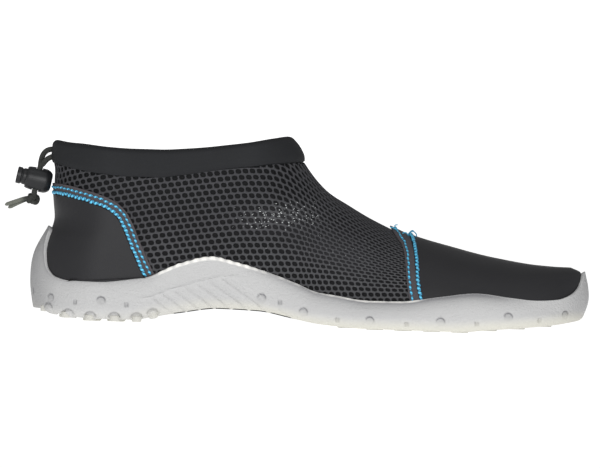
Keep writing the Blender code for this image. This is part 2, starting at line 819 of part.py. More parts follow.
def mesh_guide(name, shape):
    mesh = bpy.data.meshes.new(name)
    bmesh.ops.recalc_face_normals(shape, faces=shape.faces)
    shape.to_mesh(mesh)
    shape.free()
    return add_object(name, mesh, None)


def build_outsole(last, material):
    sole = build_sole_body(last, material)
    walls = [Wall(last, side) for side in (INNER, OUTER)]
    boolean(sole, build_lugs(walls), "UNION")
    boolean(sole, build_ribs(walls), "UNION")
    return sole


def build_insole(last, material):
    solid = Solid()
    rims = {}
    for layer, rise in (("low", 0.0), ("high", INSOLE_THICKNESS)):
        rows = []
        for i in range(COLUMNS + 1):
            z = bed_height(last.shares[i]) + rise
            inset = -UPPER_WALL - 2 * FIT_GAP
            ends = []
            for side in (INNER, OUTER):
                name = (layer, last.key(side, i, 0))
                ends.append(solid.corner(name, last.level(side, i, inset, z)))
                rims[layer, side, i] = ends[-1]
            rows.append(crossing(solid, layer, i, ends[0], ends[1]))
        for i in range(COLUMNS):
            solid.strip(rows[i], rows[i + 1])
    for side in (INNER, OUTER):
        low = [rims["low", side, i] for i in range(COLUMNS + 1)]
        high = [rims["high", side, i] for i in range(COLUMNS + 1)]
        solid.strip(low, high)
    return solid.finish("insole", material)


def smooth_route(points, step):
    """Points a step apart on a smooth curve through the route's own points."""
    ends = [points[0] * 2 - points[1]] + points + [points[-1] * 2 - points[-2]]
    route = []
    for k in range(1, len(ends) - 2):
        a, b, c, d = ends[k - 1:k + 3]
        cells = max(1, math.ceil((c - b).length / step))
        for m in range(cells):
            t = m / cells
            route.append(0.5 * (2 * b + (c - a) * t + (2 * a - 5 * b + 4 * c - d) * t * t
                                + (3 * b - a - 3 * c + d) * t ** 3))
    return route + [points[-1]]


def add_cord(name, points, material):
    curve = bpy.data.curves.new(name, "CURVE")
    curve.dimensions = "3D"
    curve.bevel_depth = CORD_DIAMETER / 2
    curve.bevel_resolution = 2
    curve.use_fill_caps = True
    spline = curve.splines.new("POLY")
    route = smooth_route(points, CORD_STEP)
    spline.points.add(len(route) - 1)
    for place, point in zip(spline.points, route):
        place.co = (*point, 1.0)
    return add_object(name, curve, material)


def turned(name, profile, segments, material):
    """A turned piece about its own Z from (radius, height) points, closed on the axis."""
    solid = Solid()
    rings = []
    for k, (radius, height) in enumerate(profile):
        if radius == 0:
            rings.append([solid.corner(k, (0.0, 0.0, height))] * (segments + 1))
            continue
        ring = []
        for m in range(segments):
            turn = 2 * math.pi * m / segments
            point = (radius * math.cos(turn), radius * math.sin(turn), height)
            ring.append(solid.corner((k, m), point))
        rings.append(ring + ring[:1])
    for first, second in zip(rings, rings[1:]):
        solid.strip(first, second)
    return solid.finish(name, material)


def box_guide(name, size, centre):
    shape = bmesh.new()
    bmesh.ops.create_cube(shape, size=1.0)
    bmesh.ops.scale(shape, vec=size, verts=shape.verts)
    bmesh.ops.translate(shape, vec=centre, verts=shape.verts)
    return mesh_guide(name, shape)


class Lock:
    """The cord lock's own frame: its hole, its axis and how far its parts reach."""

    def __init__(self, leave):
        self.hole = Vector((leave[0] + LOCK_HOLE.x * MM, leave[1], leave[2] + LOCK_HOLE.z * MM))
        self.turn = LOCK_TILT - math.pi / 2
        self.axis = Vector((-math.cos(LOCK_TILT), 0.0, math.sin(LOCK_TILT)))
        self.down = Vector((-math.sin(LOCK_TILT), 0.0, -math.cos(LOCK_TILT)))
        self.cord_reach = CORD_DIAMETER / 2 + FIT_GAP
        self.plunger_start = LOCK_END_WALL + FIT_GAP + PLUNGER_TRAVEL
        self.hole_height = self.plunger_start + PLUNGER_END_WALL + self.cord_reach
        self.base = self.hole - self.axis * self.hole_height
        self.slot_width = 2 * CORD_DIAMETER + CORD_GAP + 2 * FIT_GAP

    def place(self, obj):
        obj.location = self.base
        obj.rotation_euler = (0.0, self.turn, 0.0)


def build_lock(lock, material):
    bore = PLUNGER_RADIUS + FIT_GAP
    mouth = LOCK_LENGTH
    closed = [(LOCK_RADIUS - LOCK_ROUNDING * (1 - math.sin(turn)), LOCK_ROUNDING * (1 - math.cos(turn)))
              for turn in (0, math.pi / 6, math.pi / 3, math.pi / 2)]
    outside = [(0, 0)] + closed + [(LOCK_RADIUS, mouth - LOCK_RIM), (LOCK_RADIUS - LOCK_RIM, mouth)]
    barrel = turned("lock_barrel", outside + [(bore, mouth), (bore, LOCK_END_WALL), (0, LOCK_END_WALL)],
                    LOCK_SEGMENTS, material)
    cross = box_guide("barrel_hole", (3 * LOCK_RADIUS, lock.slot_width, 2 * lock.cord_reach),
                      (0.0, 0.0, lock.hole_height))
    boolean(barrel, cross, "DIFFERENCE")
    head = mouth + PLUNGER_HEAD_LENGTH
    rod = [(0, lock.plunger_start), (PLUNGER_RADIUS, lock.plunger_start),
           (PLUNGER_RADIUS, head - LOCK_RIM), (PLUNGER_RADIUS - LOCK_RIM, head), (0, head)]
    plunger = turned("lock_plunger", rod, LOCK_SEGMENTS, material)
    slot_low = lock.hole_height - lock.cord_reach
    slot_high = lock.hole_height + lock.cord_reach + PLUNGER_TRAVEL
    slot = box_guide("plunger_slot", (3 * PLUNGER_RADIUS, lock.slot_width, slot_high - slot_low),
                     (0.0, 0.0, (slot_low + slot_high) / 2))
    boolean(plunger, slot, "DIFFERENCE")
    for obj in (barrel, cross, plunger, slot):
        lock.place(obj)


def build_drawcord(last, collar, lock, leave, material):
    """Two strands from the collar through the lock, their knot and its two ends."""
    spread = (CORD_DIAMETER + CORD_GAP) / 2
    pockets = bmesh.new()
    for name, side in (("drawcord_inner", INNER), ("drawcord_outer", OUTER)):
        beside = Vector((0.0, SIDE_SIGN[side] * spread, 0.0))
        start = leave + beside
        points = [start + Vector((EXIT_DEPTH - FIT_GAP, 0.0, 0.0))]
        points += [start + Vector((bend.x * MM, 0.0, bend.z * MM)) for bend in CORD_ROUTE]
        points.append(lock.hole + beside - lock.down * LOCK_RADIUS)
        points.append(lock.hole + beside)
        points.append(lock.hole + beside + lock.down * (LOCK_RADIUS + KNOT_CLEARANCE - FIT_GAP))
        add_cord(name, points, material)
        place = Matrix.Translation(start) @ Matrix.Rotation(math.pi / 2, 4, "Y")
        bmesh.ops.create_cone(pockets, cap_ends=True, segments=12,
                              radius1=CORD_DIAMETER / 2 + FIT_GAP, depth=2 * EXIT_DEPTH,
                              radius2=CORD_DIAMETER / 2 + FIT_GAP, matrix=place)
    boolean(collar, mesh_guide("collar_exits", pockets), "DIFFERENCE")
    centre = lock.hole + lock.down * (LOCK_RADIUS + KNOT_CLEARANCE + KNOT_HEIGHT / 2)
    knot = bmesh.new()
    bmesh.ops.create_uvsphere(knot, u_segments=10, v_segments=7, radius=0.5)
    bmesh.ops.scale(knot, vec=(KNOT_WIDTH, KNOT_WIDTH, KNOT_HEIGHT), verts=knot.verts)
    bmesh.ops.transform(knot, matrix=Matrix.Translation(centre), verts=knot.verts)
    mesh = bpy.data.meshes.new("cord_knot")
    knot.to_mesh(mesh)
    knot.free()
    add_object("cord_knot", mesh, material)
    for tail in TAILS:
        side = Vector((-KNOT_WIDTH / 2 - FIT_GAP, SIDE_SIGN[tail.side] * spread, 0.0))
        points = [centre + side + Vector((bend.x * MM, 0.0, bend.z * MM)) for bend in tail.route]
        add_cord(tail.name, points, material)


def cord_exit(last):
    """The middle of the two cord exits, on the outside of the collar behind the heel."""
    point, out, up, _, _ = rim_frames(last)[0]
    outside = (COLLAR_THICKNESS - UPPER_WALL) / 2
    return Vector(point + out * outside + up * EXIT_HEIGHT)


def stand_on_origin(body):
    """Hangs every piece on one empty, so that the sole's outline is centred on the origin."""
    corners = [vertex.co for vertex in body.data.vertices]
    low = [min(corner[k] for corner in corners) for k in range(2)]
    high = [max(corner[k] for corner in corners) for k in range(2)]
    frame = bpy.data.objects.new("shoe_frame", None)
    pieces = list(bpy.context.scene.objects)
    bpy.context.scene.collection.objects.link(frame)
    frame.location = (-(low[0] + high[0]) / 2, -(low[1] + high[1]) / 2, 0.0)
    for piece in pieces:
        piece.parent = frame


def main():
    for obj in list(bpy.data.objects):
        bpy.data.objects.remove(obj)
    rubber = finish_material("moulded_rubber", (0.46, 0.45, 0.44), 0.6)
    knit = finish_material("spacer_mesh", (0.016, 0.017, 0.019), 0.8)
    cloth = finish_material("laminated_cloth", (0.030, 0.031, 0.034), 0.65)
    trim = finish_material("seam_trim", (0.10, 0.10, 0.11), 0.7)
    foam = finish_material("insole_foam", (0.02, 0.02, 0.022), 0.85)
    braid = finish_material("braided_cord", (0.03, 0.032, 0.033), 0.8)
    plastic = finish_material("lock_plastic", (0.022, 0.023, 0.026), 0.4)
    last = Last()
    sole = build_outsole(last, rubber)
    build_insole(last, foam)
    build_upper(last, knit)
    collar = build_collar(last, cloth)
    build_overlays(last, cloth, trim)
    leave = cord_exit(last)
    lock = Lock(leave)
    build_lock(lock, plastic)
    build_drawcord(last, collar, lock, leave, braid)
    stand_on_origin(sole)


main()
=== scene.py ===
"""Finished surfaces of a water shoe, left foot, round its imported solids.

Laid out as an add-on and run as a script. Metres, +Z up, toe towards +X, the wearer's outer
side towards +Y, with the origin on the ground under the middle of the sole.
"""

import math
from collections import namedtuple
from functools import partial

import bpy
import numpy as np
from mathutils import Matrix, Vector


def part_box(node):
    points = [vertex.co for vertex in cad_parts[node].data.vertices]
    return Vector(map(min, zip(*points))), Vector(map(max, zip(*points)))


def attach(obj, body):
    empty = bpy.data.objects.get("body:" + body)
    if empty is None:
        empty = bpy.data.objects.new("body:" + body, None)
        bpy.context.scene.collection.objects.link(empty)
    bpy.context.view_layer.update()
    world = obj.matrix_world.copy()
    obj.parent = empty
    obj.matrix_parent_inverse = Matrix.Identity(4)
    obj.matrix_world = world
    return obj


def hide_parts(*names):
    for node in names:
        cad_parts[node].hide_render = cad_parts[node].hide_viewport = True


bl_info = {
    "name": "Water shoe",
    "version": (1, 0, 0),
    "blender": (4, 5, 0),
    "location": "View3D > Sidebar > Shoe",
    "description": "Builds the finished surfaces of a water shoe round its solids",
    "category": "Object",
}

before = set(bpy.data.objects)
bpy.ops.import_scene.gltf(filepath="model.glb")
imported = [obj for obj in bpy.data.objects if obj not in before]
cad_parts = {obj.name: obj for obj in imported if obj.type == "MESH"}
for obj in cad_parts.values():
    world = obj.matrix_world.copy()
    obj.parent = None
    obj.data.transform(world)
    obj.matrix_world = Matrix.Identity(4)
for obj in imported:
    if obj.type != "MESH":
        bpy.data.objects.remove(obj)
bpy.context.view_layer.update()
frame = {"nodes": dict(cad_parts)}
BODY = "shoe"
PLUNGER_BODY = "plunger"

MM = 0.001
INNER, OUTER = 0, 1
SIDES = (INNER, OUTER)
SIDE_SIGN = (-1.0, 1.0)

# The last's driving sizes and the gap between sewn or moulded layers
LENGTH = 285 * MM
BALL_WIDTH = 98 * MM
INSTEP_HEIGHT = 83.7 * MM
HEEL_HEIGHT = 80 * MM
UPPER_START = 5 * MM
UPPER_LENGTH = 276 * MM
FIT_GAP = 0.3 * MM
FOOTBED = 6.5 * MM
ARCH_CREST = 34 * MM
ARCH_LIFT = 8.2 * MM
TOE_SPRING = 7 * MM
LUG_HEIGHT = 1.3 * MM


def table(columns, *rows):
    """Rows of numbers whose columns have names."""
    kind = namedtuple("Row", columns)
    return tuple(kind(*row) for row in rows)


# Columns of the last: u is the share of the upper's length, axis, inner and outer are shares
# of the ball width, shoulder and crown shape the section, bed is a share of FOOTBED.
LAST = table("u axis inner outer shoulder crown bed",
    (0, 0, 0.3, 0.3, 2, 2, 1.08), (0.1, 0, 0.322, 0.325, 2, 2, 1),
    (0.2, 0, 0.325, 0.35, 2, 2, 1.2), (0.32, 0, 0.315, 0.375, 1.8, 1.9, 2.05),
    (0.45, 0.005, 0.325, 0.415, 1.6, 1.8, 1.6), (0.56, 0.005, 0.385, 0.46, 1.6, 1.9, 1.08),
    (0.68, -0.015, 0.45, 0.495, 1.9, 2.1, 1), (0.77, -0.045, 0.455, 0.49, 2.1, 2.2, 1.05),
    (0.86, -0.09, 0.425, 0.47, 2.2, 2.3, 1.28), (0.94, -0.13, 0.39, 0.44, 2.5, 2.8, 1.6),
    (1, -0.16, 0.345, 0.4, 3.2, 3.8, 1.75))
HEEL_ROUND = 0.115
TOE_ROUND = 0.20
TOE_ROUND_POWER = 2.3

# The instep line: height is a share of INSTEP_HEIGHT
INSTEP = table("u height",
    (0.4833, 1), (0.4967, 0.938), (0.5123, 0.877), (0.5297, 0.823), (0.5685, 0.745),
    (0.6098, 0.669), (0.646, 0.618), (0.6826, 0.567), (0.7554, 0.502), (0.8395, 0.44),
    (0.9246, 0.403), (0.979, 0.396), (1, 0.396))
COLLAR_FRONT = INSTEP[0].u

# The opening's edge: t from heel to front, height a share of HEEL_HEIGHT, half of BALL_WIDTH,
# depth of the collar's depth
RIM = table("t height half depth",
    (0, 0.995, 0.235, 0.84), (0.05, 0.975, 0.245, 0.88), (0.12, 0.955, 0.262, 0.95),
    (0.23, 0.932, 0.28, 0.99), (0.33, 0.924, 0.292, 1), (0.44, 0.924, 0.298, 1),
    (0.56, 0.949, 0.298, 0.93), (0.67, 0.982, 0.29, 0.86), (0.78, 1.005, 0.275, 0.88),
    (0.89, 1.03, 0.262, 0.95), (1, 1.046, 0.245, 1.12))
RIM_FRONT_ROUND = 0.20
SIDE_LEAN = 0.06
FRONT_LEAN = 0.70

# The back and the front of the upper: x is a share of LENGTH
HEEL_CURVE = table("height x",
    (0.06, 0.0208), (0.18, 0.0172), (0.31, 0.0165), (0.41, 0.02), (0.52, 0.032), (0.58, 0.043),
    (0.65, 0.047), (0.73, 0.045), (0.81, 0.0425), (0.88, 0.04), (0.94, 0.0405), (1, 0.038))
HEEL_CURVE_REACH = 0.30
TOE_CURVE = table("q x",
    (0, -0.009), (0.3, -0.0005), (0.55, 0), (0.75, -0.001), (0.9, -0.004), (1, -0.02))
TOE_CURVE_REACH = 0.15

# The sole's moulded edge, as shares of ARCH_CREST, and its underside, as shares of
# ARCH_LIFT, TOE_SPRING and LUG_HEIGHT
SOLE_EDGE = table("u inner outer",
    (0, 1.35, 1.35), (0.006, 1.29, 1.29), (0.014, 1.02, 1.02), (0.023, 0.76, 0.76),
    (0.036, 0.64, 0.64), (0.06, 0.588, 0.588), (0.113, 0.58, 0.58), (0.176, 0.64, 0.62),
    (0.204, 0.68, 0.65), (0.23, 0.775, 0.7), (0.262, 0.89, 0.76), (0.32, 1, 0.81),
    (0.362, 0.93, 0.78), (0.425, 0.79, 0.7), (0.483, 0.62, 0.59), (0.515, 0.52, 0.52),
    (0.546, 0.48, 0.48), (0.611, 0.412, 0.44), (0.668, 0.418, 0.43), (0.738, 0.5, 0.47),
    (0.808, 0.565, 0.52), (0.868, 0.52, 0.53), (0.91, 0.497, 0.52), (0.95, 0.52, 0.54),
    (0.975, 0.6, 0.61), (0.989, 0.715, 0.715), (0.996, 0.85, 0.85), (0.999, 0.9, 0.9),
    (1, 0.91, 0.91))
UNDERSIDE = table("u lift spring lug",
    (0, 0.68, 0, 0.2), (0.03, 0.36, 0, 0.5), (0.058, 0.13, 0, 1), (0.095, 0, 0, 1),
    (0.18, 0, 0, 1), (0.204, 0.22, 0, 0.6), (0.23, 0.48, 0, 0), (0.263, 0.67, 0, 0),
    (0.334, 1, 0, 0), (0.407, 0.93, 0, 0), (0.469, 0.55, 0, 0), (0.521, 0.21, 0, 0.2),
    (0.558, 0.08, 0, 0.4), (0.6, 0, 0, 0.4), (0.77, 0, 0, 0.4), (0.843, 0, 0.24, 0.4),
    (0.905, 0, 0.46, 0.4), (0.951, 0, 0.66, 0.3), (1, 0, 1, 0.2))

# Seams in the side view: x is a share of LENGTH, z of HEEL_HEIGHT
COUNTER_SEAM = table("x z",
    (0.02, 0.803), (0.061, 0.789), (0.086, 0.768), (0.113, 0.742), (0.137, 0.708), (0.154, 0.664),
    (0.167, 0.588), (0.179, 0.487), (0.192, 0.386), (0.202, 0.315), (0.217, 0.22))
VAMP_SEAM = table("x z",
    (0.654, 0.7), (0.665, 0.645), (0.672, 0.608), (0.679, 0.58), (0.683, 0.541), (0.687, 0.49),
    (0.691, 0.38), (0.695, 0.27), (0.701, 0.18), (0.707, 0.08))

# One row of the mesh's holes, as a share of INSTEP_HEIGHT. The rows above it keep to it;
# in front of ROW_SPREAD the ones near the sole go on rising by ROW_RISE.
ROW_LINE = table("u height",
    (0, 0.7), (0.2, 0.815), (0.34, 0.884), (0.38, 0.896), (0.42, 0.898), (0.446, 0.884),
    (0.47, 0.854), (0.5, 0.808), (0.53, 0.761), (0.569, 0.703), (0.61, 0.648), (0.664, 0.583),
    (0.72, 0.55))
ROW_SPREAD = 0.40
ROW_RISE = 0.04
CLOTH_BULGE = 1.05
CLOTH_FOOT = 0.35 * MM
CLOTH_RIM = 0.35 * MM

# Tread rows: how many lugs stand across, and their reach towards the sole's edges
LUG_ROWS = table("u count spread",
    (0.055, 2, 0.3), (0.1, 3, 0.56), (0.145, 3, 0.56), (0.57, 3, 0.68), (0.622, 4, 0.76),
    (0.674, 4, 0.78), (0.726, 4, 0.78), (0.778, 4, 0.76), (0.83, 4, 0.74), (0.882, 3, 0.66),
    (0.934, 2, 0.42))
HEEL_STUDS = (0.020, 0.057, 0.098, 0.143, 0.184, 0.214)

# Marks moulded into the sole's side, in millimetres from the heel and from the ground
SCOOPS = table("x z",
    (11.6, 11), (37.7, 10.6), (118.8, 14.5), (140.2, 8), (173.9, 4.8), (209.7, 5.4), (244, 9),
    (273, 10.6))
NOTCHES = table("x z",
    (3.6, 14.4), (24.2, 9.4), (50.6, 9), (128.2, 12.6), (157.4, 4.6), (192.5, 3.6), (228, 5),
    (260.1, 7.6))
PANEL_TOP = table("x z",
    (56, 11.6), (61.7, 12.6), (71.8, 16.5), (81.9, 19.8), (92, 22.7), (99.6, 24.3), (106, 24.6),
    (112, 22))
MARK_DEPTH = 1.0 * MM
SCOOP_RADIUS = 2.4
STUD_RISE = 0.9 * MM
STUD_RING_DEPTH = 0.5 * MM

# The arch's sunk panel and its ridges, which slant by RIDGE_LEAN, in millimetres like the marks
PANEL_DEPTH = 0.45 * MM
RIDGE_RISE = 0.55 * MM
RIDGE_COUNT = 7
RIDGE_FIRST = 45.6
RIDGE_LAST = 97.2
RIDGE_LEAN = 1.5

# The lugs and studs under the sole
LUG_RADIUS = 4.6 * MM
LUG_DEPTH = 2.5 * MM
STUD_RADIUS = 2.5 * MM
STUD_LIFT = 0.3 * MM
STUD_DEPTH = 3.4 * MM
STUD_INSET = 2.3 * MM

# The mesh's cells: the rows they stand in, and each ring of a cell as the share of the way
# from the hole's oval to the cell's corners, its height and how much painted shade it gets
CELL_ROWS = range(-9, 34)
CELL_RINGS = ((1.0, 0.0, 0.0), (0.42, -0.04 * MM, 0.0), (0.0, -0.30 * MM, 0.6),
              (-0.06, -0.92 * MM, 1.0))
HOLE_LEAN = 0.22
MESH_UNDER_SOLE = 2.2 * MM
MESH_TO_VAMP = 3.5 * MM
MESH_TO_COUNTER = 2.5 * MM
COUNTER_END = 0.30

# Patches of the mesh: middle, height, reach, depth and slope. Both soften the painted shade in
# the holes and get specks of painted light, the bright one most, and it is tinted with painted
# light too.
BRIGHT_PATCH = (127 * MM, 56 * MM, 22 * MM, 7.5 * MM, -0.12)
DULL_PATCH = (160 * MM, 39 * MM, 27 * MM, 13 * MM, 0.28)

# The collar draws in towards its seam and swells above it, most of all at the front
DRAW_IN = 0.9 * MM
DRAW_REACH = 3.2 * MM
SWELL = 0.25 * MM
SWELL_WAVE = 0.12 * MM
FRONT_SWELL = 0.9 * MM

# Rows of stitches, by their distance in front of the vamp seam and above the counter's
VAMP_ROWS = (-3.8 * MM, 0.5 * MM)
COUNTER_ROWS = (1.1 * MM, 3.8 * MM)

# Loose thread on the instep: where it starts from the seam, and its bends in millimetres
LOOSE_ENDS = (
    (-3.8 * MM, ((0, 0, 0), (-1.0, 0, 1.2), (-1.2, -0.5, 2.6), (0.2, -1.0, 3.0))),
    (-3.6 * MM, ((0, 0, 0), (-2.2, 0.5, 1.4), (-4.0, 0, 1.8))),
    (-0.5 * MM, ((0, 0, 0), (-1.6, 0, 1.6), (-3.4, -0.5, 1.0))),
    (0.2 * MM, ((0, 0, 0), (-0.8, -1.0, 2.0), (0.6, -1.5, 3.2), (1.4, -1.5, 2.6))),
    (0.9 * MM, ((-2.0, 0, 0), (-2.2, -1, 2.0), (0, -1, 3.0), (1.8, -1, 1.4), (1.2, 0, 0))),
)

# The drawcord's way, in millimetres from where it leaves the collar, and its free ends'
# from the knot. STRAND_SWING moves the two strands apart by SWING_SHARES.
Bend = namedtuple("Bend", "x z")
CORD_ROUTE = table("x z",
    (2.1, 0), (0, 0), (-2.3, -0.9), (-4.1, -2.9), (-5.1, -5.8))
LOCK_HOLE = Bend(-6.9, -15.0)
TAIL_ROUTES = ((Bend(0, 0.2), Bend(-3.3, -0.9), Bend(-6.6, -2.1), Bend(-10.0, -3.4)),
               (Bend(0, -0.7), Bend(-2.8, -2.0), Bend(-5.6, -3.4), Bend(-8.4, -4.9)))
STRAND_SWING = (-3.0, 0.6)
SWING_SHARES = (0.8, 0.8, 0.8, 0.6, 0.35)
CORD_THINNING = 0.3

# The cord lock and the knot below it
LOCK_TILT = math.radians(11.5)
LOCK_RADIUS = 6.2 * MM
LOCK_LENGTH = 13.2 * MM
LOCK_END_WALL = 1.0 * MM
PLUNGER_RADIUS = 4.3 * MM
PLUNGER_HEAD = 4.9 * MM
PLUNGER_TRAVEL = 3.0 * MM
PLUNGER_END_WALL = 1.4 * MM
HOLE_HEIGHT = LOCK_END_WALL + PLUNGER_TRAVEL + PLUNGER_END_WALL + 1.4 * MM + 2 * FIT_GAP
CORD_GAP = 0.8 * MM
KNOT_WIDTH = 7.4 * MM
KNOT_HEIGHT = 6.6 * MM
KNOT_CLEARANCE = 0.8 * MM

# How finely surfaces are divided
REAR_COLUMNS = 150
FRONT_COLUMNS = 150
LAST_ROWS = 90
FAN_HEIGHT = 15 * MM
ROW_FROM = -30 * MM
ROW_TO = 110 * MM
ROW_STEP = 0.5 * MM


def length_property(name, description, millimetres):
    return bpy.props.FloatProperty(name=name, description=description, unit="LENGTH",
                                   default=millimetres * MM)


class ShoeSizes(bpy.types.PropertyGroup):
    """Sizes that a user would change without touching the last."""

    upper_wall: length_property("Upper wall", "Thickness of the spacer mesh", 2)
    overlay: length_property("Overlay", "Thickness of the toe cap and the counter", 1.1)
    tape: length_property("Tape", "Thickness of the tape and the binding", 0.8)
    tape_width: length_property("Tape width", "Width of the tape behind the toe cap", 5.0)
    binding_width: length_property("Binding width", "Width of the strip over the counter", 5.3)
    collar_depth: length_property("Collar depth", "Height of the folded collar", 14)
    collar_thickness: length_property("Collar thickness", "Thickness of the folded collar", 5)
    hole_pitch: length_property("Hole pitch", "Distance between holes along a row", 3.6)
    row_pitch: length_property("Row pitch", "Distance between rows of holes", 3.15)
    hole_length: length_property("Hole length", "Length of a hole along its row", 2.95)
    hole_width: length_property("Hole width", "Width of a hole across its row", 2.25)
    sole_wall: length_property("Sole wall", "Thickness of the sole's side at its foot", 4.4)
    sole_lip: length_property("Sole lip", "Thickness of the sole's top edge", 1.9)
    bumper_lip: length_property("Bumper lip", "Thickness of the edge at heel and toe", 3.2)
    thread: length_property("Thread", "Thickness of the stitching thread", 0.95)
    stitch: length_property("Stitch", "Length of one stitch", 2.9)
    cord: length_property("Cord", "Thickness of the drawcord", 2.8)


def colour_property(name, description, text):
    """A colour setting whose default is written as sRGB hex."""
    return bpy.props.FloatVectorProperty(name=name, description=description, subtype="COLOR",
                                         size=3, min=0, max=1, default=linear(text)[:3])


def linear(text):
    """An sRGB hex colour as linear RGBA."""
    parts = [int(text[k:k + 2], 16) / 255 for k in (1, 3, 5)]
    parts = [p / 12.92 if p <= 0.04045 else ((p + 0.055) / 1.055) ** 2.4 for p in parts]
    return (*parts, 1.0)


class ShoeColours(bpy.types.PropertyGroup):
    """Base colours of the finishes."""

    knit: colour_property("Mesh", "Yarn of the spacer mesh", "#3e3e41")
    cloth: colour_property("Cloth", "Laminated cloth of toe cap and counter", "#2a2a2c")
    collar: colour_property("Collar", "Stretch cloth of the collar", "#232426")
    tape: colour_property("Tape", "Woven tape and binding", "#4a4649")
    thread: colour_property("Thread", "Stitching thread", "#2fa4d8")
    rubber: colour_property("Rubber", "Moulded sole", "#bababa")
    foam: colour_property("Foam", "Footbed cloth", "#26272a")
    cord: colour_property("Cord", "Braided drawcord", "#3a3b38")
    plastic: colour_property("Plastic", "Cord lock", "#1b1c1e")


def sizes():
    return bpy.context.scene.shoe_sizes


def colours():
    return bpy.context.scene.shoe_colours


# Reading the last

def ease(rows, source, target, where):
    """Smooth values of one table column, with no overshoot between the rows."""
    xs = np.array([getattr(row, source) for row in rows])
    ys = np.array([getattr(row, target) for row in rows])
    steps = np.diff(xs)
    slopes = np.diff(ys) / steps
    tangents = np.zeros(len(xs))
    tangents[0] = slopes[0]
    tangents[-1] = slopes[-1]
    for k in range(1, len(xs) - 1):
        if slopes[k - 1] * slopes[k] > 0:
            before = 2 * steps[k] + steps[k - 1]
            after = steps[k] + 2 * steps[k - 1]
            tangents[k] = (before + after) / (before / slopes[k - 1] + after / slopes[k])
    x = np.clip(where, xs[0], xs[-1])
    k = np.clip(np.searchsorted(xs, x, side="right") - 1, 0, len(steps) - 1)
    t = (x - xs[k]) / steps[k]
    start = ys[k] * (1 + 2 * t) * (1 - t) ** 2 + tangents[k] * steps[k] * t * (1 - t) ** 2
    end = ys[k + 1] * t * t * (3 - 2 * t) + tangents[k + 1] * steps[k] * t * t * (t - 1)
    return start + end


def round_end(distance, reach, power):
    """Rises from 0 at an end of the outline to 1 at `reach` from it, as a superellipse."""
    near = np.clip(1 - distance / reach, 0, 1)
    return (1 - near ** power) ** (1 / power)


def half_width(u, side):
    share = ease(LAST, "u", ("inner", "outer")[side], u)
    return share * BALL_WIDTH * round_end(u, HEEL_ROUND, 2) * round_end(
        1 - u, TOE_ROUND, TOE_ROUND_POWER)


def rim_half_width(u):
    t = np.clip(u / COLLAR_FRONT, 0, 1)
    ends = round_end(u, HEEL_ROUND, 2) * round_end(1 - t, RIM_FRONT_ROUND, 2)
    return np.where(u >= COLLAR_FRONT, 0.0, ease(RIM, "t", "half", t) * BALL_WIDTH * ends)


def top_height(u):
    rim = ease(RIM, "t", "height", np.clip(u / COLLAR_FRONT, 0, 1)) * HEEL_HEIGHT
    ridge = ease(INSTEP, "u", "height", u) * INSTEP_HEIGHT
    return np.where(u < COLLAR_FRONT, rim, ridge)


def bed_height(u):
    return ease(LAST, "u", "bed", u) * FOOTBED


def ground_height(u):
    return (ease(UNDERSIDE, "u", "lift", u) * ARCH_LIFT
            + ease(UNDERSIDE, "u", "spring", u) * TOE_SPRING)


def edge_height(u, side):
    return ease(SOLE_EDGE, "u", ("inner", "outer")[side], u) * ARCH_CREST


def surface(side, u, q):
    """Points of the upper's outer surface: q runs from the feather edge to the top."""
    low = bed_height(u)
    z = low + q * (top_height(u) - low)
    width = np.maximum(half_width(u, side), 1e-9)
    shoulder = ease(LAST, "u", "shoulder", u)
    crown = ease(LAST, "u", "crown", u)
    open_share = np.minimum(rim_half_width(u) / width, 0.98)
    reach = (1 - open_share ** crown) ** (1 / shoulder)
    y = width * np.clip(1 - (reach * q) ** shoulder, 0, 1) ** (1 / crown)
    heel = np.clip(1 - u / HEEL_CURVE_REACH, 0, 1) ** 2
    back = ease(HEEL_CURVE, "height", "x", z / HEEL_HEIGHT) * LENGTH - UPPER_START
    toe = np.clip(1 - (1 - u) / TOE_CURVE_REACH, 0, 1) ** 2
    front = ease(TOE_CURVE, "q", "x", q) * LENGTH
    x = UPPER_START + u * UPPER_LENGTH + back * heel + front * toe
    axis = ease(LAST, "u", "axis", u) * BALL_WIDTH
    return np.stack(np.broadcast_arrays(x, axis + SIDE_SIGN[side] * y, z), -1)


def unit(vectors):
    return vectors / np.maximum(np.linalg.norm(vectors, axis=-1, keepdims=True), 1e-12)


def stepped_lengths(points, axis):
    """Distance walked along a grid of points, starting from 0."""
    steps = np.linalg.norm(np.diff(points, axis=axis), axis=-1)
    walked = np.cumsum(steps, axis=axis)
    zeros = np.zeros_like(np.take(walked, [0], axis=axis))
    return np.concatenate((zeros, walked), axis=axis)


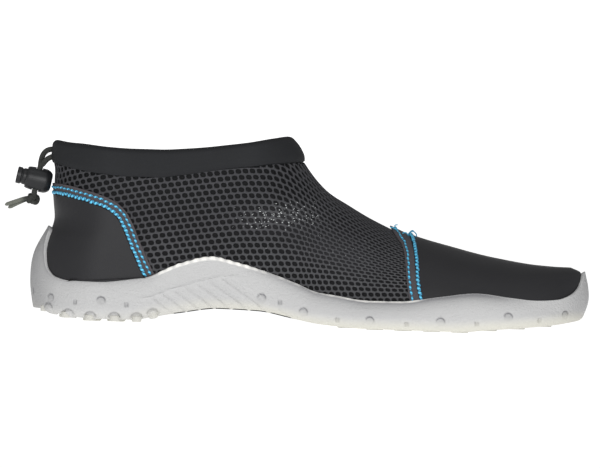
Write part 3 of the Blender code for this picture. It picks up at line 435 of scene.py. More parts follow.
class Last:
    """The upper's outer surface as a fine grid wrapped round the shoe.

    Columns run from the heel along the outer side to the toe and back along the inner side.
    """

    def __init__(self):
        turn = np.arange(REAR_COLUMNS) / REAR_COLUMNS
        rear = COLLAR_FRONT * (1 - np.cos(math.pi * turn)) / 2
        turn = np.arange(FRONT_COLUMNS + 1) / FRONT_COLUMNS
        front = COLLAR_FRONT + (1 - COLLAR_FRONT) * np.sin(math.pi / 2 * turn)
        self.shares = np.concatenate((rear, front))
        self.count = len(self.shares) - 1
        self.heights = np.sin(math.pi / 2 * np.linspace(0, 1, LAST_ROWS + 1))
        sides = [surface(side, self.shares[:, None], self.heights[None, :]) for side in SIDES]
        self.points = np.concatenate((sides[OUTER], sides[INNER][-2:0:-1]))
        self.points += np.array(self.middle())
        along = np.roll(self.points, -1, 0) - np.roll(self.points, 1, 0)
        normals = unit(np.cross(np.gradient(self.points, axis=1), along))
        columns = np.arange(REAR_COLUMNS, 2 * self.count - REAR_COLUMNS + 1)
        normals[columns, -1] = unit(normals[columns, -1] + normals[2 * self.count - columns, -1])
        self.normals = normals
        waist = int(LAST_ROWS * 0.45)
        walks = [stepped_lengths(side[:, waist], 0) for side in sides]
        self.walk = (walks[INNER] + walks[OUTER]) / 2
        self.row_table = self.row_places()

    @staticmethod
    def middle():
        """Moves the last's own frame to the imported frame, from the upper's own box."""
        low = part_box("upper")[0]
        start = surface(OUTER, np.zeros(200), np.linspace(0, 1, 200))[:, 0].min()
        inner = surface(INNER, np.linspace(0, 1, 400)[:, None], np.linspace(0, 1, 40)[None])
        return (low.x - start, low.y - inner[..., 1].min(), 0.0)

    def row_places(self):
        """Where each level of the cloth's rows crosses each column of the grid."""
        rows = np.arange(LAST_ROWS + 1)
        levels = np.arange(ROW_FROM, ROW_TO, ROW_STEP)
        table = np.empty((2 * self.count, len(levels)))
        walked = stepped_lengths(self.points, 1)
        for column in range(2 * self.count):
            side = OUTER if column <= self.count else INNER
            near = column if side == OUTER else 2 * self.count - column
            u = self.shares[near]
            edge, depth = self.row_depth(side, u)
            squeeze = 1.0
            if u > ROW_SPREAD:
                start, full = self.row_depth(side, ROW_SPREAD)
                rise = (u - ROW_SPREAD) * UPPER_LENGTH * ROW_RISE
                squeeze = max((full + rise + start - edge) / depth, 1.0)
            q = np.clip(self.height_share(u, edge), 0.02, 1)
            foot = np.interp(np.arcsin(q) / (math.pi / 2) * LAST_ROWS, rows, walked[column])
            up = walked[column] - foot
            f = np.clip(up / depth, 0, 1)
            crowd = 0.3 * f ** 3 + 0.7 * (f - np.sin(2 * math.pi * f) / 2 / math.pi)
            beyond = 0.9 * (squeeze - 1) * np.maximum(up - depth, 0)
            reached = squeeze * depth - up - (squeeze - 1) * depth * crowd - beyond
            table[column] = np.interp(levels, reached[::-1], rows[::-1])
        return table

    @staticmethod
    def row_depth(side, u):
        """The sole's edge at a share of the length, and the cloth from it to the row line."""
        edge = float(edge_height(u, side))
        line = float(ease(ROW_LINE, "u", "height", u)) * INSTEP_HEIGHT
        return edge, (line - edge) * CLOTH_BULGE

    def column(self, side, u):
        place = np.interp(u, self.shares, np.arange(self.count + 1))
        return 2 * self.count - place if side == INNER else place

    def look(self, table, column, row):
        """Reads a table of the grid between its corners."""
        i = np.floor(column).astype(int)
        j = np.clip(np.floor(row).astype(int), 0, table.shape[1] - 2)
        s = column - i
        t = np.clip(row - j, 0, 1)
        if table.ndim == 3:
            s = s[..., None]
            t = t[..., None]
        period = 2 * self.count
        near = table[i % period, j] * (1 - t) + table[i % period, j + 1] * t
        far = table[(i + 1) % period, j] * (1 - t) + table[(i + 1) % period, j + 1] * t
        return near * (1 - s) + far * s

    def at(self, side, u, q, offset=0.0):
        """A point at a share u of the length and q of the height, lifted off the surface."""
        u, q, offset = np.broadcast_arrays(u, q, offset)
        column = self.column(side, u)
        row = np.arcsin(np.clip(q, 0, 1)) / (math.pi / 2) * LAST_ROWS
        normal = unit(self.look(self.normals, column, row))
        return self.look(self.points, column, row) + normal * offset[..., None]

    def cloth_point(self, side, s, t, offset):
        """A point of the cloth: s along the shoe, t down from the line of the hole rows."""
        u = np.interp(s, self.walk, self.shares)
        column = self.column(side, u)
        row = self.look(self.row_table, column, (t - ROW_FROM) / ROW_STEP)
        normal = unit(self.look(self.normals, column, row))
        return self.look(self.points, column, row) + normal * offset[..., None]

    def height_share(self, u, z):
        low = bed_height(u)
        return (z - low) / (top_height(u) - low)

    def foot_share(self, side, u):
        """Where the overlays' lower edge lies, just above the sole's."""
        return self.height_share(u, edge_height(u, side) + CLOTH_FOOT)

    def inner_point(self, x, z):
        """A point in the shoe's middle plane, x from the heel."""
        shift = self.middle()
        return (shift[0] + x, shift[1], z)


def seam_points(rows):
    shift = Last.middle()[0]
    return np.array([(row.x * LENGTH + shift, row.z * HEEL_HEIGHT) for row in rows])


def seam_distance(line, x, z):
    """Signed distance to a seam in the side view, positive to its left as it runs."""
    best = np.full(np.shape(x), 1e9)
    sign = np.ones(np.shape(x))
    count = len(line) - 1
    for k in range(count):
        a = line[k]
        step = line[k + 1] - a
        along = ((x - a[0]) * step[0] + (z - a[1]) * step[1]) / (step @ step)
        low = -50.0 if k == 0 else 0.0
        high = 50.0 if k == count - 1 else 1.0
        along = np.clip(along, low, high)
        dx = x - a[0] - along * step[0]
        dz = z - a[1] - along * step[1]
        far = np.hypot(dx, dz)
        closer = far < best
        best = np.where(closer, far, best)
        sign = np.where(closer, np.sign(step[0] * dz - step[1] * dx), sign)
    return best * sign


def spline(a, b, c, d, t):
    """A smooth curve from b to c, as t goes from 0 to 1, whose neighbours are a and d."""
    return 0.5 * (2 * b + (c - a) * t + (2 * a - 5 * b + 4 * c - d) * t * t
                  + (3 * b - a - 3 * c + d) * t ** 3)


def read_along(where, walked, values):
    """Rows of values at places along a line."""
    return np.stack([np.interp(where, walked, column) for column in values.T], 1)


def smooth_line(points, count):
    """Points evenly spread on a smooth curve through a few given ones."""
    points = np.asarray(points, float)
    ends = np.vstack((2 * points[0] - points[1], points, 2 * points[-1] - points[-2]))
    fine = []
    for k in range(1, len(ends) - 2):
        a, b, c, d = ends[k - 1:k + 3]
        for t in np.linspace(0, 1, 24, endpoint=False):
            fine.append(spline(a, b, c, d, t))
    fine.append(points[-1])
    fine = np.array(fine)
    walked = stepped_lengths(fine, 0)
    return read_along(np.linspace(0, walked[-1], count), walked, fine)


def first_crossing(values, places):
    """Where each row of values first rises through zero, read between its places."""
    above = values >= 0
    k = np.clip(above.argmax(1), 1, values.shape[1] - 1)
    k = np.where(above.any(1), k, values.shape[1] - 1)
    rows = np.arange(len(values))
    a = values[rows, k - 1]
    b = values[rows, k]
    t = np.clip(-a / np.where(np.abs(b - a) < 1e-12, 1e-12, b - a), 0, 1)
    return places[rows, k - 1] * (1 - t) + places[rows, k] * t


class Seams:
    """Curves at a distance from the two seams, as shares of length and height."""

    def __init__(self, last):
        self.last = last
        self.vamp = smooth_line(seam_points(VAMP_SEAM), 60)
        self.counter = smooth_line(seam_points(COUNTER_SEAM), 90)

    def vamp_share(self, side, q, distance):
        """u where the cloth lies `distance` in front of the vamp seam, at shares q."""
        grid_u = np.broadcast_to(np.linspace(0.60, 0.80, 240), (len(q), 240))
        grid_q = np.broadcast_to(q[:, None], grid_u.shape)
        point = self.last.at(side, grid_u, grid_q)
        ahead = seam_distance(self.vamp, point[..., 0], point[..., 2]) - distance
        return first_crossing(ahead, grid_u)

    def vamp_line(self, side, rise, distance):
        """u and q up the vamp seam from the sole's edge, as rise runs from 0 to 1."""
        last = self.last
        u = np.full(len(rise), 0.70)
        for _ in range(3):
            low = last.foot_share(side, u)
            q = low + (1 - low) * np.sin(math.pi / 2 * rise)
            u = self.vamp_share(side, q, distance)
        return u, q

    def counter_fan(self, side, count, distance=None):
        """How far a fan of lines runs from inside the heel to the counter seam.

        With no distance, the lines end at the sole's edge instead.
        """
        last = self.last
        turn = self.fan_turns(count)[:, None]
        reach = np.linspace(0.1 * MM, 90 * MM, 360)[None, :]
        u, z = self.fan_place(turn, reach)
        q = np.clip(last.height_share(u, z), 0, 1)
        if distance is None:
            value = z - edge_height(u, side)
        else:
            value = seam_distance(self.counter, last.at(side, u, q)[..., 0], z) - distance
        return first_crossing(value, np.broadcast_to(reach, value.shape))

    @staticmethod
    def fan_turns(count):
        return np.linspace(0.045, 1, count) * math.pi / 2

    def fan_place(self, turn, reach):
        """u and z at a reach along lines of the fan."""
        u = np.interp(reach * np.cos(turn), self.last.walk, self.last.shares)
        return u, FAN_HEIGHT + reach * np.sin(turn)


# Making pieces

def deselect():
    for obj in bpy.context.selected_objects:
        obj.select_set(False)


def choose(*objects):
    deselect()
    for obj in objects:
        obj.select_set(True)
    bpy.context.view_layer.objects.active = objects[0]


def edit(obj, *steps):
    """Runs edit-mode operators on everything in one mesh."""
    choose(obj)
    bpy.ops.object.mode_set(mode="EDIT")
    bpy.ops.mesh.select_all(action="SELECT")
    for step in steps:
        step()
    bpy.ops.object.mode_set(mode="OBJECT")


def vertex_array(mesh):
    flat = np.empty(len(mesh.vertices) * 3)
    mesh.vertices.foreach_get("co", flat)
    return flat.reshape(-1, 3)


def set_vertices(mesh, points):
    mesh.vertices.foreach_set("co", np.asarray(points, float).ravel())
    mesh.update()


def set_uv(mesh, pairs):
    """Lays the UV map from one (u, v) pair for each vertex."""
    layer = mesh.uv_layers.active or mesh.uv_layers.new(name="UVMap")
    index = np.empty(len(mesh.loops), int)
    mesh.loops.foreach_get("vertex_index", index)
    layer.data.foreach_set("uv", np.asarray(pairs, float)[index].ravel())


def set_amount(mesh, name, values):
    layer = mesh.attributes.get(name) or mesh.attributes.new(name, "FLOAT", "POINT")
    layer.data.foreach_set("value", np.asarray(values, np.float32))


def new_object(name, data):
    obj = bpy.data.objects.new(name, data)
    bpy.context.scene.collection.objects.link(obj)
    return obj


def face_out():
    """Turns the faces of the mesh that is being edited outwards."""
    bpy.ops.mesh.normals_make_consistent(inside=False)


def grid_index(share, count):
    return np.rint(share * (count - 1)).astype(int)


def add_sheet(name, columns, rows, place):
    """A grid laid on a surface.

    place turns two shares of the grid into points and UV pairs, and may return a dictionary
    of amounts after them.
    """
    deselect()
    bpy.ops.mesh.primitive_grid_add(x_subdivisions=columns - 1, y_subdivisions=rows - 1, size=2)
    obj = bpy.context.object
    obj.name = name
    obj.data.name = name
    flat = vertex_array(obj.data)
    points, pairs, *amounts = place((flat[:, 0] + 1) / 2, (flat[:, 1] + 1) / 2)
    set_vertices(obj.data, points)
    set_uv(obj.data, pairs)
    for group in amounts:
        for key, values in group.items():
            set_amount(obj.data, key, values)
    return obj


def turn_outwards(obj, middle):
    """Flips a sheet whose faces look towards a point inside the shoe."""
    mesh = obj.data
    count = len(mesh.polygons)
    centres = np.empty(count * 3)
    normals = np.empty(count * 3)
    mesh.polygons.foreach_get("center", centres)
    mesh.polygons.foreach_get("normal", normals)
    away = centres.reshape(-1, 3) - np.asarray(middle)
    if (away * normals.reshape(-1, 3)).sum() < 0:
        edit(obj, bpy.ops.mesh.flip_normals)


def join(name, objects):
    choose(*objects)
    bpy.ops.object.join()
    obj = bpy.context.object
    obj.name = name
    obj.data.name = name
    return obj


def weld(obj, distance=0.02 * MM):
    edit(obj, lambda: bpy.ops.mesh.remove_doubles(threshold=distance))


def apply_modifier(obj, kind, **settings):
    choose(obj)
    modifier = obj.modifiers.new(kind.lower(), kind)
    for key, value in settings.items():
        setattr(modifier, key, value)
    bpy.ops.object.modifier_apply(modifier=modifier.name)


def finish_piece(obj, body, slot, material, *nodes, angle=40):
    """Shades a piece, gives it its finish and sets what it rides on and stands for."""
    choose(obj)
    bpy.ops.object.shade_smooth_by_angle(angle=math.radians(angle))
    if not obj.data.materials:
        obj.data.materials.append(material)
    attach(obj, body)
    if nodes:
        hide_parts(*nodes)
    return obj


# Making finishes

def add_node(material, kind, inputs=None, **settings):
    """Adds a node: settings are its own properties, inputs are values, sockets or nodes.

    A node given as an input is linked from its first output.
    """
    tree = material.node_tree
    made = tree.nodes.new(kind)
    for key, value in settings.items():
        setattr(made, key, value)
    for key, value in (inputs or {}).items():
        if isinstance(value, bpy.types.Node):
            value = value.outputs[0]
        if isinstance(value, bpy.types.NodeSocket):
            tree.links.new(value, made.inputs[key])
        else:
            made.inputs[key].default_value = value
    return made


def new_finish(name, colour, roughness, **sockets):
    """A Principled material; other sockets are named with underscores for spaces."""
    material = bpy.data.materials.new(name)
    material.use_nodes = True
    shader = material.node_tree.nodes["Principled BSDF"]
    shader.inputs["Base Color"].default_value = colour
    shader.inputs["Roughness"].default_value = roughness
    for key, value in sockets.items():
        shader.inputs[key.replace("_", " ")].default_value = value
    return material, shader


def link(material, socket, target):
    material.node_tree.links.new(socket, target)


def shade(colour, factor):
    return (*(min(c * factor, 1.0) for c in colour[:3]), 1.0)


def base_colour(name):
    return (*getattr(colours(), name), 1.0)


def mottled(material, shader, colour, scale, low, high):
    """Lets the colour drift between a darker and a lighter shade over the piece."""
    node = partial(add_node, material)
    place = node("ShaderNodeTexCoord").outputs["Object"]
    drift = node("ShaderNodeTexNoise", {"Vector": place, "Scale": scale, "Detail": 3.0})
    mix = node("ShaderNodeMix", {0: drift, 6: shade(colour, low), 7: shade(colour, high)},
               data_type="RGBA")
    link(material, mix.outputs[2], shader.inputs["Base Color"])
    return mix.outputs[2]


def tints_and_painted_light(material, shader, colour, **colour_layers):
    """Colours laid over one another where the piece's amounts of that name say so; some are
    painted light and shade, others tints that the thing really has.
    """
    node = partial(add_node, material)
    for name, text in colour_layers.items():
        amount = node("ShaderNodeAttribute", attribute_name=name).outputs["Fac"]
        mix = node("ShaderNodeMix", {0: amount, 6: colour, 7: linear(text)}, data_type="RGBA")
        colour = mix.outputs[2]
    link(material, colour, shader.inputs["Base Color"])


def grained(material, shader, scale, detail, depth, strength):
    """Gives the surface a fine relief that runs no particular way."""
    node = partial(add_node, material)
    place = node("ShaderNodeTexCoord").outputs["Object"]
    grain = node("ShaderNodeTexNoise", {"Vector": place, "Scale": scale, "Detail": detail})
    bump = node("ShaderNodeBump", {"Height": grain, "Distance": depth, "Strength": strength})
    link(material, bump.outputs["Normal"], shader.inputs["Normal"])


def knit_finish():
    """Polyester spacer knit: matt yarn, with painted shade down in its holes and painted light
    showing through it.
    """
    base = base_colour("knit")
    material, shader = new_finish("polyester_spacer_knit", base, 0.7, Specular_IOR_Level=0.2)
    mix = mottled(material, shader, base, 60.0, 0.86, 1.12)
    # Painted shade darkens the holes; painted light tints the yarn and colours its pale specks.
    tints_and_painted_light(material, shader, mix, hole="#08090b", veil="#b9bcbc")
    # The yarn's twist, about 0.5 mm, is drawn at 0.7 mm so that it shows
    grained(material, shader, 1400.0, 2.0, 0.25 * MM, 0.8)
    return material


def cloth_finish(name, base, roughness, grain, low=0.9, high=1.1):
    """Laminated jersey over foam: smooth, with a fine grain and a faint sheen."""
    material, shader = new_finish(name, base, roughness, Specular_IOR_Level=0.16)
    mottled(material, shader, base, 45.0, low, high)
    grained(material, shader, 1.0 / grain, 3.0, 0.12 * MM, 0.6)
    return material


def tape_finish():
    """Woven tape: flat threads across each other, 0.6 mm apart."""
    base = base_colour("tape")
    material, shader = new_finish("woven_tape", base, 0.7, Specular_IOR_Level=0.3)
    mottled(material, shader, base, 130.0, 0.8, 1.15)
    node = partial(add_node, material)
    place = node("ShaderNodeTexCoord").outputs["UV"]
    weave = node("ShaderNodeTexChecker", {"Vector": place, "Scale": 1.0 / (0.6 * MM)})
    bump = node("ShaderNodeBump", {"Height": weave.outputs["Fac"], "Distance": 0.12 * MM,
                                   "Strength": 0.5})
    link(material, bump.outputs["Normal"], shader.inputs["Normal"])
    return material


def thread_finish():
    """Bonded polyester thread: its blue painted as a highlight along each stitch's middle, with
    painted shade in the lines of its twist and towards its ends.
    """
    material, shader = new_finish("bonded_thread", base_colour("thread"), 0.42)
    node = partial(add_node, material)
    place = node("ShaderNodeTexCoord").outputs["UV"]
    parts = node("ShaderNodeSeparateXYZ", {0: place})
    across = parts.outputs["Y"]
    steep = node("ShaderNodeMath", {0: across, 1: 3.0}, operation="MULTIPLY")
    lean = node("ShaderNodeMath", {0: steep, 1: parts.outputs["X"]}, operation="ADD")
    turn = node("ShaderNodeMath", {0: lean, 1: math.pi}, operation="MULTIPLY")
    wave = node("ShaderNodeMath", {0: turn}, operation="SINE")
    ply = node("ShaderNodeMath", {0: wave}, operation="ABSOLUTE")
    half_turn = node("ShaderNodeMath", {0: across, 1: math.pi}, operation="MULTIPLY")
    ends = node("ShaderNodeMath", {0: half_turn}, operation="SINE")
    dip = node("ShaderNodeMath", {0: ends, 1: 1.3}, operation="POWER")
    bright = node("ShaderNodeMath", {0: ply, 1: dip}, operation="MULTIPLY")
    # Painted light and shade: the thread's blue runs from a shaded dark to a painted highlight.
    mix = node("ShaderNodeMix", {0: bright, 6: linear("#0c3a60"), 7: linear("#63d2fb")},
               data_type="RGBA")
    link(material, mix.outputs[2], shader.inputs["Base Color"])
    bump = node("ShaderNodeBump", {"Height": ply, "Distance": 0.2 * MM, "Strength": 0.6})
    link(material, bump.outputs["Normal"], shader.inputs["Normal"])
    return material


def rubber_finish():
    """Moulded rubber: matt, with the fine stipple that its mould leaves."""
    base = base_colour("rubber")
    material, shader = new_finish("matt_rubber", base, 0.58)
    mix = mottled(material, shader, base, 28.0, 0.95, 1.03)
    # Painted shade darkens the side marks, the wall under the upper's edge and the heel and toe
    # ends; the rubber is also tinted warmer near the ground and pale along the moulding flash.
    tints_and_painted_light(material, shader, mix, soot="#55555a", warm="#d2cfbd", flash="#efede8")
    # Mould stipple, about 0.8 mm
    grained(material, shader, 1000.0, 3.0, 0.5 * MM, 0.9)
    return material


def foam_finish():
    """Brushed cloth on the footbed: matt, with a short nap."""
    return cloth_finish("brushed_footbed", base_colour("foam"), 0.9, 0.9 * MM, 0.8, 1.2)


def braid_finish():
    """Braided polyester cord: strands that cross at a slant."""
    base = base_colour("cord")
    material, shader = new_finish("polyester_braid", base, 0.6, Specular_IOR_Level=0.3)
    node = partial(add_node, material)
    place = node("ShaderNodeTexCoord").outputs["UV"]
    parts = node("ShaderNodeSeparateXYZ", {0: place})
    slants = []
    for turns in (6.0, -6.0):
        turned = node("ShaderNodeMath", {0: parts.outputs["Y"], 1: turns}, operation="MULTIPLY")
        along = node("ShaderNodeMath", {0: parts.outputs["X"], 1: 1.0 / (2.4 * MM)},
                     operation="MULTIPLY")
        phase = node("ShaderNodeMath", {0: turned, 1: along}, operation="ADD")
        turn = node("ShaderNodeMath", {0: phase, 1: 2 * math.pi}, operation="MULTIPLY")
        wave = node("ShaderNodeMath", {0: turn}, operation="SINE")
        slants.append(node("ShaderNodeMath", {0: wave}, operation="ABSOLUTE"))
    height = node("ShaderNodeMath", {0: slants[0], 1: slants[1]}, operation="MULTIPLY")
    # Painted light and shade: the crowns of the strands are painted lighter and the grooves
    # between them darker.
    mix = node("ShaderNodeMix", {0: height, 6: shade(base, 0.45), 7: shade(base, 1.6)},
               data_type="RGBA")
    worn = node("ShaderNodeAttribute", attribute_name="worn").outputs["Fac"]
    wear = node("ShaderNodeMath", {0: worn, 1: 0.8}, operation="MULTIPLY")
    pale = node("ShaderNodeMix", {0: wear, 6: mix.outputs[2], 7: linear("#83867c")},
                data_type="RGBA")
    link(material, pale.outputs[2], shader.inputs["Base Color"])
    bump = node("ShaderNodeBump", {"Height": height, "Distance": 0.3 * MM, "Strength": 0.8})
    link(material, bump.outputs["Normal"], shader.inputs["Normal"])
    return material


def plastic_finish():
    """Injection-moulded acetal: satin, with faint rubbing marks."""
    base = base_colour("plastic")
    material, shader = new_finish("moulded_acetal", base, 0.4, Specular_IOR_Level=0.35)
    mottled(material, shader, base, 220.0, 0.8, 1.25)
    grained(material, shader, 700.0, 4.0, 0.05 * MM, 0.5)
    return material


def finish_of(name, maker):
    """The finish made once, or the one that an earlier piece made."""
    return bpy.data.materials.get(name) or maker()


# Stage

def add_camera():
    """A long lens at the photograph's height, looking at the inner side and rolled a little."""
    distance = 6.0
    lift = math.radians(0.8)
    roll = math.radians(1.764)
    aim = Vector((-5.35 * MM, 0.0, 47.1 * MM))
    data = bpy.data.cameras.new("studio_camera")
    data.lens = 706.0
    data.sensor_width = 36.0
    data.clip_end = 20.0
    camera = new_object("studio_camera", data)
    place = aim + Vector((0.0, -math.cos(lift), math.sin(lift))) * distance
    look = (aim - place).to_track_quat("-Z", "Y").to_matrix().to_4x4()
    camera.matrix_world = Matrix.Translation(place) @ look @ Matrix.Rotation(roll, 4, "Z")
    bpy.context.scene.camera = camera


def add_light(name, place, size, power, aim=(0.0, 0.0, 0.03)):
    data = bpy.data.lights.new(name, "AREA")
    data.shape = "RECTANGLE"
    data.size, data.size_y = size
    data.energy = power
    lamp = new_object(name, data)
    lamp.location = place
    lamp.rotation_euler = (Vector(aim) - Vector(place)).to_track_quat("-Z", "Y").to_euler()


class SHOE_OT_stage(bpy.types.Operator):
    """Adds the pale floor, the soft light and the camera"""

    bl_idname = "shoe.stage"
    bl_label = "Stage"

    def execute(self, context):
        deselect()
        bpy.ops.mesh.primitive_plane_add(size=12.0, location=(0.0, 0.0, -0.05 * MM))
        floor = context.object
        floor.name = "studio_floor"
        bpy.ops.mesh.primitive_plane_add(size=4.0, location=(0.0, 9.0, 0.0),
                                         rotation=(math.pi / 2, 0.0, 0.0))
        backdrop = context.object
        backdrop.name = "studio_backdrop"
        for obj, glow in ((floor, 0.86), (backdrop, 1.05)):
            material, _ = new_finish(obj.name, linear("#c8c8c8"), 0.9,
                                     Emission_Color=(1, 1, 1, 1), Emission_Strength=glow)
            obj.data.materials.append(material)
        world = bpy.data.worlds.new("studio_light")
        world.use_nodes = True
        world.node_tree.nodes["Background"].inputs["Color"].default_value = (1, 1, 1, 1)
        world.node_tree.nodes["Background"].inputs["Strength"].default_value = 0.30
        context.scene.world = world
        add_light("overhead", (0.05, -0.35, 1.1), (0.9, 0.6), 1.2)
        add_light("front_box", (0.0, -1.8, 0.45), (1.5, 0.8), 20.0)
        context.scene.view_settings.view_transform = "Standard"
        add_camera()
        return {"FINISHED"}


# Cords and lock

def cord_leave():
    """The middle of the two cord exits, behind the heel on the collar's outside."""
    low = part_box("drawcord_inner")[0]
    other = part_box("drawcord_outer")[0]
    hole = hole_centre_from_lock()
    return Vector((hole.x - LOCK_HOLE.x * MM, (low.y + other.y) / 2 + sizes().cord / 2,
                   hole.z - LOCK_HOLE.z * MM))


def lock_axes():
    mouth = Vector((-math.cos(LOCK_TILT), 0.0, math.sin(LOCK_TILT)))
    down = Vector((-math.sin(LOCK_TILT), 0.0, -math.cos(LOCK_TILT)))
    return mouth, down


def hole_centre_from_lock():
    """The middle of the lock's cross hole, worked out from the barrel's own box."""
    low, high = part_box("lock_barrel")
    centre = (low + high) / 2
    mouth, _ = lock_axes()
    return centre + mouth * (HOLE_HEIGHT - LOCK_LENGTH / 2)


def tube_frames(path):
    """Directions across a path that turn with it and never twist."""
    tangents = unit(np.gradient(path, axis=0))
    across = np.cross(tangents[0], (0.0, 0.0, 1.0))
    if np.linalg.norm(across) < 0.1:
        across = np.cross(tangents[0], (0.0, 1.0, 0.0))
    frames = []
    for tangent in tangents:
        across = unit(across - tangent * (across @ tangent))
        frames.append((across, np.cross(tangent, across)))
    return frames


def add_tube(name, path, radius, sides=16, taper=0.0, closed=False):
    """A round tube along points, with rounded ends unless it closes on itself."""
    path = np.asarray(path)
    frames = tube_frames(path)
    walked = stepped_lengths(path, 0)
    turns = np.linspace(0, 2 * math.pi, sides + 1)

    def place(a, b):
        k = grid_index(b, len(path))
        m = grid_index(a, sides + 1)
        across = np.array([frame[0] for frame in frames])[k]
        other = np.array([frame[1] for frame in frames])[k]
        ends = np.minimum(walked[k], walked[-1] - walked[k])
        grow = 1.0 if closed else np.sqrt(np.clip(ends / radius + 0.12, 0, 1))
        thin = 1 - taper * soft_step(0.68, 0.78, walked[k] / walked[-1])
        wide = radius * (grow * thin)[:, None]
        turn = turns[m][:, None]
        points = path[k] + (across * np.cos(turn) + other * np.sin(turn)) * wide
        return points, np.stack((walked[k], m / sides), 1)

    obj = add_sheet(name, sides + 1, len(path), place)
    weld(obj)
    edit(obj, lambda: bpy.ops.mesh.fill_holes(sides=0), face_out)
    return obj


class SHOE_OT_cords(bpy.types.Operator):
    """Adds the two strands of the drawcord and their knot"""

    bl_idname = "shoe.cords"
    bl_label = "Drawcord"

    def execute(self, context):
        braid = finish_of("polyester_braid", braid_finish)
        leave = cord_leave()
        hole = hole_centre_from_lock()
        _, down = lock_axes()
        spread = (sizes().cord + CORD_GAP) / 2
        centre = hole + down * (LOCK_RADIUS + KNOT_CLEARANCE + KNOT_HEIGHT / 2)
        self.add_knot(centre, down, braid)
        names = (("cord_inner", "drawcord_inner", "cord_tail_inner"),
                 ("cord_outer", "drawcord_outer", "cord_tail_outer"))
        for side, (name, strand, tail) in enumerate(names):
            beside = Vector((0.0, SIDE_SIGN[side] * spread, 0.0))
            start = leave + beside
            wide = STRAND_SWING[side]
            points = [start + Vector(((bend.x - wide * swing) * MM, 0.0,
                                      (bend.z + wide * swing) * MM))
                      for bend, swing in zip(CORD_ROUTE, SWING_SHARES)]
            points += [hole + beside - down * LOCK_RADIUS, hole + beside]
            points += [hole + beside + down * (LOCK_RADIUS + 0.5 * MM)]
            points += [centre + beside * 0.8 - down * 0.8 * MM + Vector((0.4 * MM, 0, 0))]
            out = centre + Vector((-KNOT_WIDTH / 2 - FIT_GAP, 0.0, 0.0)) + beside
            points += [out + Vector((bend.x * MM, 0.0, bend.z * MM))
                       for bend in TAIL_ROUTES[side]]
            path = smooth_line([tuple(p) for p in points], 72)
            cord = add_tube(name, path, sizes().cord / 2, taper=CORD_THINNING)
            behind = float(out.x) - vertex_array(cord.data)[:, 0]
            set_amount(cord.data, "worn", soft_step(-1.0 * MM, 3.0 * MM, behind))
            finish_piece(cord, BODY, "braided_cord", braid, strand, tail)
        return {"FINISHED"}

    def add_knot(self, centre, down, braid):
        """An overhand knot of the cord, drawn tight under the lock."""
        turn = np.linspace(0, 2 * math.pi, 97)[:-1]
        loop = np.stack((np.sin(turn) + 2 * np.sin(2 * turn),
                         np.cos(turn) - 2 * np.cos(2 * turn), -np.sin(3 * turn)), 1)
        thick = 1.25 * MM
        reach = (KNOT_WIDTH / 2 - thick) / 3.0
        loop = loop * np.array((reach, reach, 1.5 * MM))
        swing = down.to_track_quat("Z", "Y").to_matrix()
        path = np.array([tuple(centre + swing @ Vector(p)) for p in loop])
        path = np.vstack((path, path[:1]))
        knot = add_tube("cord_knot_tied", path, thick, 14, closed=True)
        finish_piece(knot, BODY, "braided_cord", braid, "cord_knot")


def add_turned(name, profile, segments=40):
    """A turned piece about Z from a profile of (radius, height) that ends on the axis."""
    profile = np.asarray(profile)
    walked = stepped_lengths(profile, 0)

    def place(a, b):
        k = grid_index(b, len(profile))
        turn = 2 * math.pi * np.rint(a * segments) / segments
        radius = profile[k, 0]
        points = np.stack((radius * np.cos(turn), radius * np.sin(turn), profile[k, 1]), 1)
        return points, np.stack((a, walked[k]), 1)

    obj = add_sheet(name, segments + 1, len(profile), place)
    weld(obj, 0.005 * MM)
    edit(obj, face_out)
    return obj


def rounded(corners, radius, steps=4):
    """A profile whose inner corners are rounded off with short curves."""
    corners = [Vector(c) for c in corners]
    out = [corners[0]]
    for before, here, after in zip(corners, corners[1:], corners[2:]):
        near = min(radius, (before - here).length * 0.45, (after - here).length * 0.45)
        start = here + (before - here).normalized() * near
        end = here + (after - here).normalized() * near
        for k in range(steps + 1):
            t = k / steps
            out.append(start * (1 - t) ** 2 + here * 2 * t * (1 - t) + end * t * t)
    out.append(corners[-1])
    return [(p.x, p.y) for p in out]


